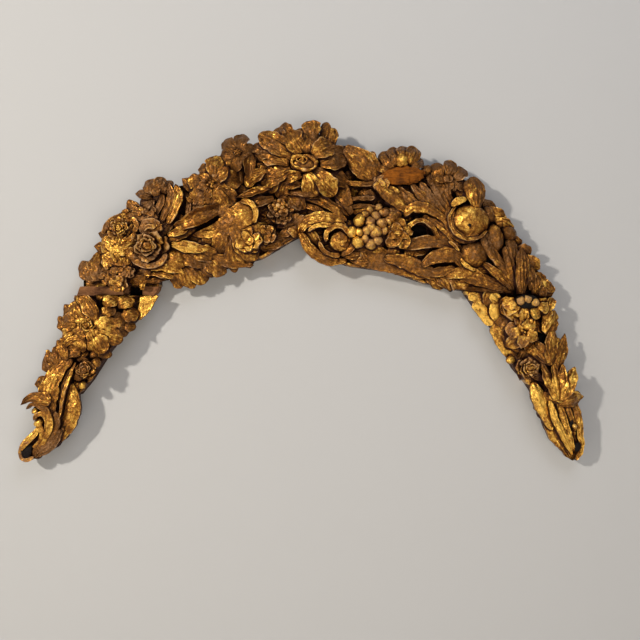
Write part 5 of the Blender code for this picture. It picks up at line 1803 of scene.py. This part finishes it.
def undergrowth(name, edges, fromX, toX):
    look = undergrowthLook
    rng = np.random.default_rng(17)
    rows = edges["rows"]
    outer = alongEdge(edges["outer"], rows)
    inner = alongEdge(edges["inner"], rows)
    length = np.hypot(*np.diff((outer + inner) / 2, axis=0).T).sum()
    startPiece(name)
    for index in range(int(length / look["alongMm"])):
        row = min(int((index + rng.random()) * look["alongMm"] / length * rows), rows - 2)
        width = math.hypot(*(inner[row] - outer[row]))
        run = outer[row + 1] + inner[row + 1] - outer[row] - inner[row]
        for place in np.arange(look["acrossMm"] / 2, width, look["acrossMm"]):
            jitter, swing, *rolls = rng.random(6)
            t = (place + look["jitterMm"] * (jitter - 0.5)) / width
            x, z = outer[row] * (1 - t) + inner[row] * t
            innerRoom = edges["innerMargin"] + look["innerRoom"]
            crowded = t * width < look["outerRoom"] or (1 - t) * width < innerRoom
            cleared = any(math.hypot(x - clearX, z - clearZ) < radius
                          for clearX, clearZ, radius in clearings)
            if crowded or cleared or not fromX <= x < toX:
                continue
            if maps["fine"][cellsOf(np.array([x, z]), maps["corner"], maps["size"])] > look["below"]:
                continue
            outward = 1 if x > 0 else -1
            swingMost = look["swing"][0 if min(t, 1 - t) * width > look["edgeMm"] else 1]
            turn = math.degrees(math.atan2(run[1] * outward, run[0] * outward)) + swingMost * (swing - 0.5)
            long, wide, proud, tone = (
                look[key][0] + roll * (look[key][1] - look[key][0])
                for key, roll in zip(("length", "width", "proud", "tone"), rolls)
            )
            start = long / 2
            leaf(x - start * math.cos(math.radians(turn)), z - start * math.sin(math.radians(turn)), turn,
                 long, wide, proud, tone=tone, **look["shape"])


maps = makeMaps()
for name, edges, fromX, toX in undergrowthPieces:
    undergrowth(name, edges, fromX, toX)
for name, shells in carving.items():
    carving[name] = [(trimAtJoint(name, place), *rest) for place, *rest in shells]
maps = makeMaps()
print("undergrowth fills the ground and the height maps are made")

# how deep a hollow or crease must be for old dirt and painted shade, and how high a ridge for wear and
# painted highlight
wearAndShadeLook = {
    # depth at which a place counts as fully hollow, and its share, against the near and the far blur
    "near": (15.0, 0.62),
    "far": (42.0, 0.6),
    "ridge": 2.0,
    "crease": (0.4, 2.6),   # where a crease starts and how much deeper it is full
    "sharpAngle": 62.0,
}


def finishPiece(name, node, shells, materials, wearAndShadeShare=1.0):
    look = wearAndShadeLook
    place, corners, totals, tone, dust = zip(*shells)
    starts = np.cumsum([0] + [len(part) for part in place[:-1]])
    corners = np.concatenate([part + start for part, start in zip(corners, starts)])
    place, totals, tone, dust = (np.concatenate(parts) for parts in (place, totals, tone, dust))
    cells = cellsOf(place[:, [0, 2]], maps["corner"], maps["size"])
    own = -place[:, 1]
    # hollow and crease: old dirt and painted shade in the recesses; ridge: rubbed wear and painted highlight
    # on high edges
    hollow = sum(
        np.clip((maps[key][cells] - own) / look[key][0], 0, 1) * look[key][1] for key in ("near", "far")
    )
    ridge = np.clip((own - maps["fine"][cells]) / look["ridge"], 0, 1)
    creaseStart, creaseDepth = look["crease"]
    crease = np.clip((maps["fine"][cells] - own - creaseStart) / creaseDepth, 0, 1)
    mesh = meshFromShell(name, (place * mm, corners, totals))
    for material in materials:
        mesh.materials.append(material)
    wearAndShade = {"hollow": wearAndShadeShare * hollow, "ridge": wearAndShadeShare * ridge, "crease": crease, "tone": tone, "dust": dust}
    for label, value in wearAndShade.items():
        attribute = mesh.attributes.new(label, "FLOAT", "POINT")
        attribute.data.foreach_set("value", value.astype(np.float32))
    mesh.polygons.foreach_set("use_smooth", np.ones(len(mesh.polygons), dtype=bool))
    mesh.set_sharp_from_angle(angle=math.radians(look["sharpAngle"]))
    piece = bpy.data.objects.new(name, mesh)
    bpy.context.scene.collection.objects.link(piece)
    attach(piece, "root")
    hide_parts(node)
    print(name, int((totals - 2).sum()), "triangles")
    return piece


for name, node in (
    ("crownLeftCarving", "crown"), ("crownMiddleCarving", "crown"), ("crownRightCarving", "crown"),
    ("brokenSeat", "crown"), ("leftLegCarving", "left_leg"), ("rightLegCarving", "right_leg"),
):
    finishPiece(name, node, carving[name], [brokenWood if name == "brokenSeat" else gilding])

# The boards take little wear, dirt, painted shade and painted highlight, a sawn back and, at the top of the
# left leg, the plain lap
boardWearAndShade = 0.25
for name, edges, node, lapTop, tone in (
    ("crownBoard", crownEdges, "crown", None, 0.6),
    ("leftLegBoard", leftEdges, "left_leg", jointLook["left"], 0.4),
    ("rightLegBoard", rightEdges, "right_leg", None, 1.1),
):
    places, corners, totals = boardShell(edges, lapTop)
    tones = np.full(len(places), tone)
    lapFoot = math.inf if lapTop is None else lapTop - lapLook["height"]
    inNotch = np.abs(places[:, 0] - lapLook["notchAt"]) < lapLook["notchHalf"]
    # the notch takes a negative tone: its gilding is painted black as the shade in its depth
    tones[inNotch & (places[:, 2] > lapFoot)] = -1.0
    shell = (places, corners, totals, tones, np.zeros(len(places)))
    board = finishPiece(name, node, [shell], [gilding, backWood, lapWood], boardWearAndShade)
    for face in board.data.polygons:
        if face.normal.y > 0.5:
            face.material_index = 1
        elif face.center.z / mm > lapFoot:
            inNotch = abs(face.center.x / mm - lapLook["notchAt"]) <= lapLook["notchHalf"]
            face.material_index = 0 if inNotch else 2
print("boards are in place")

bpy.data.collections.remove(workbench)
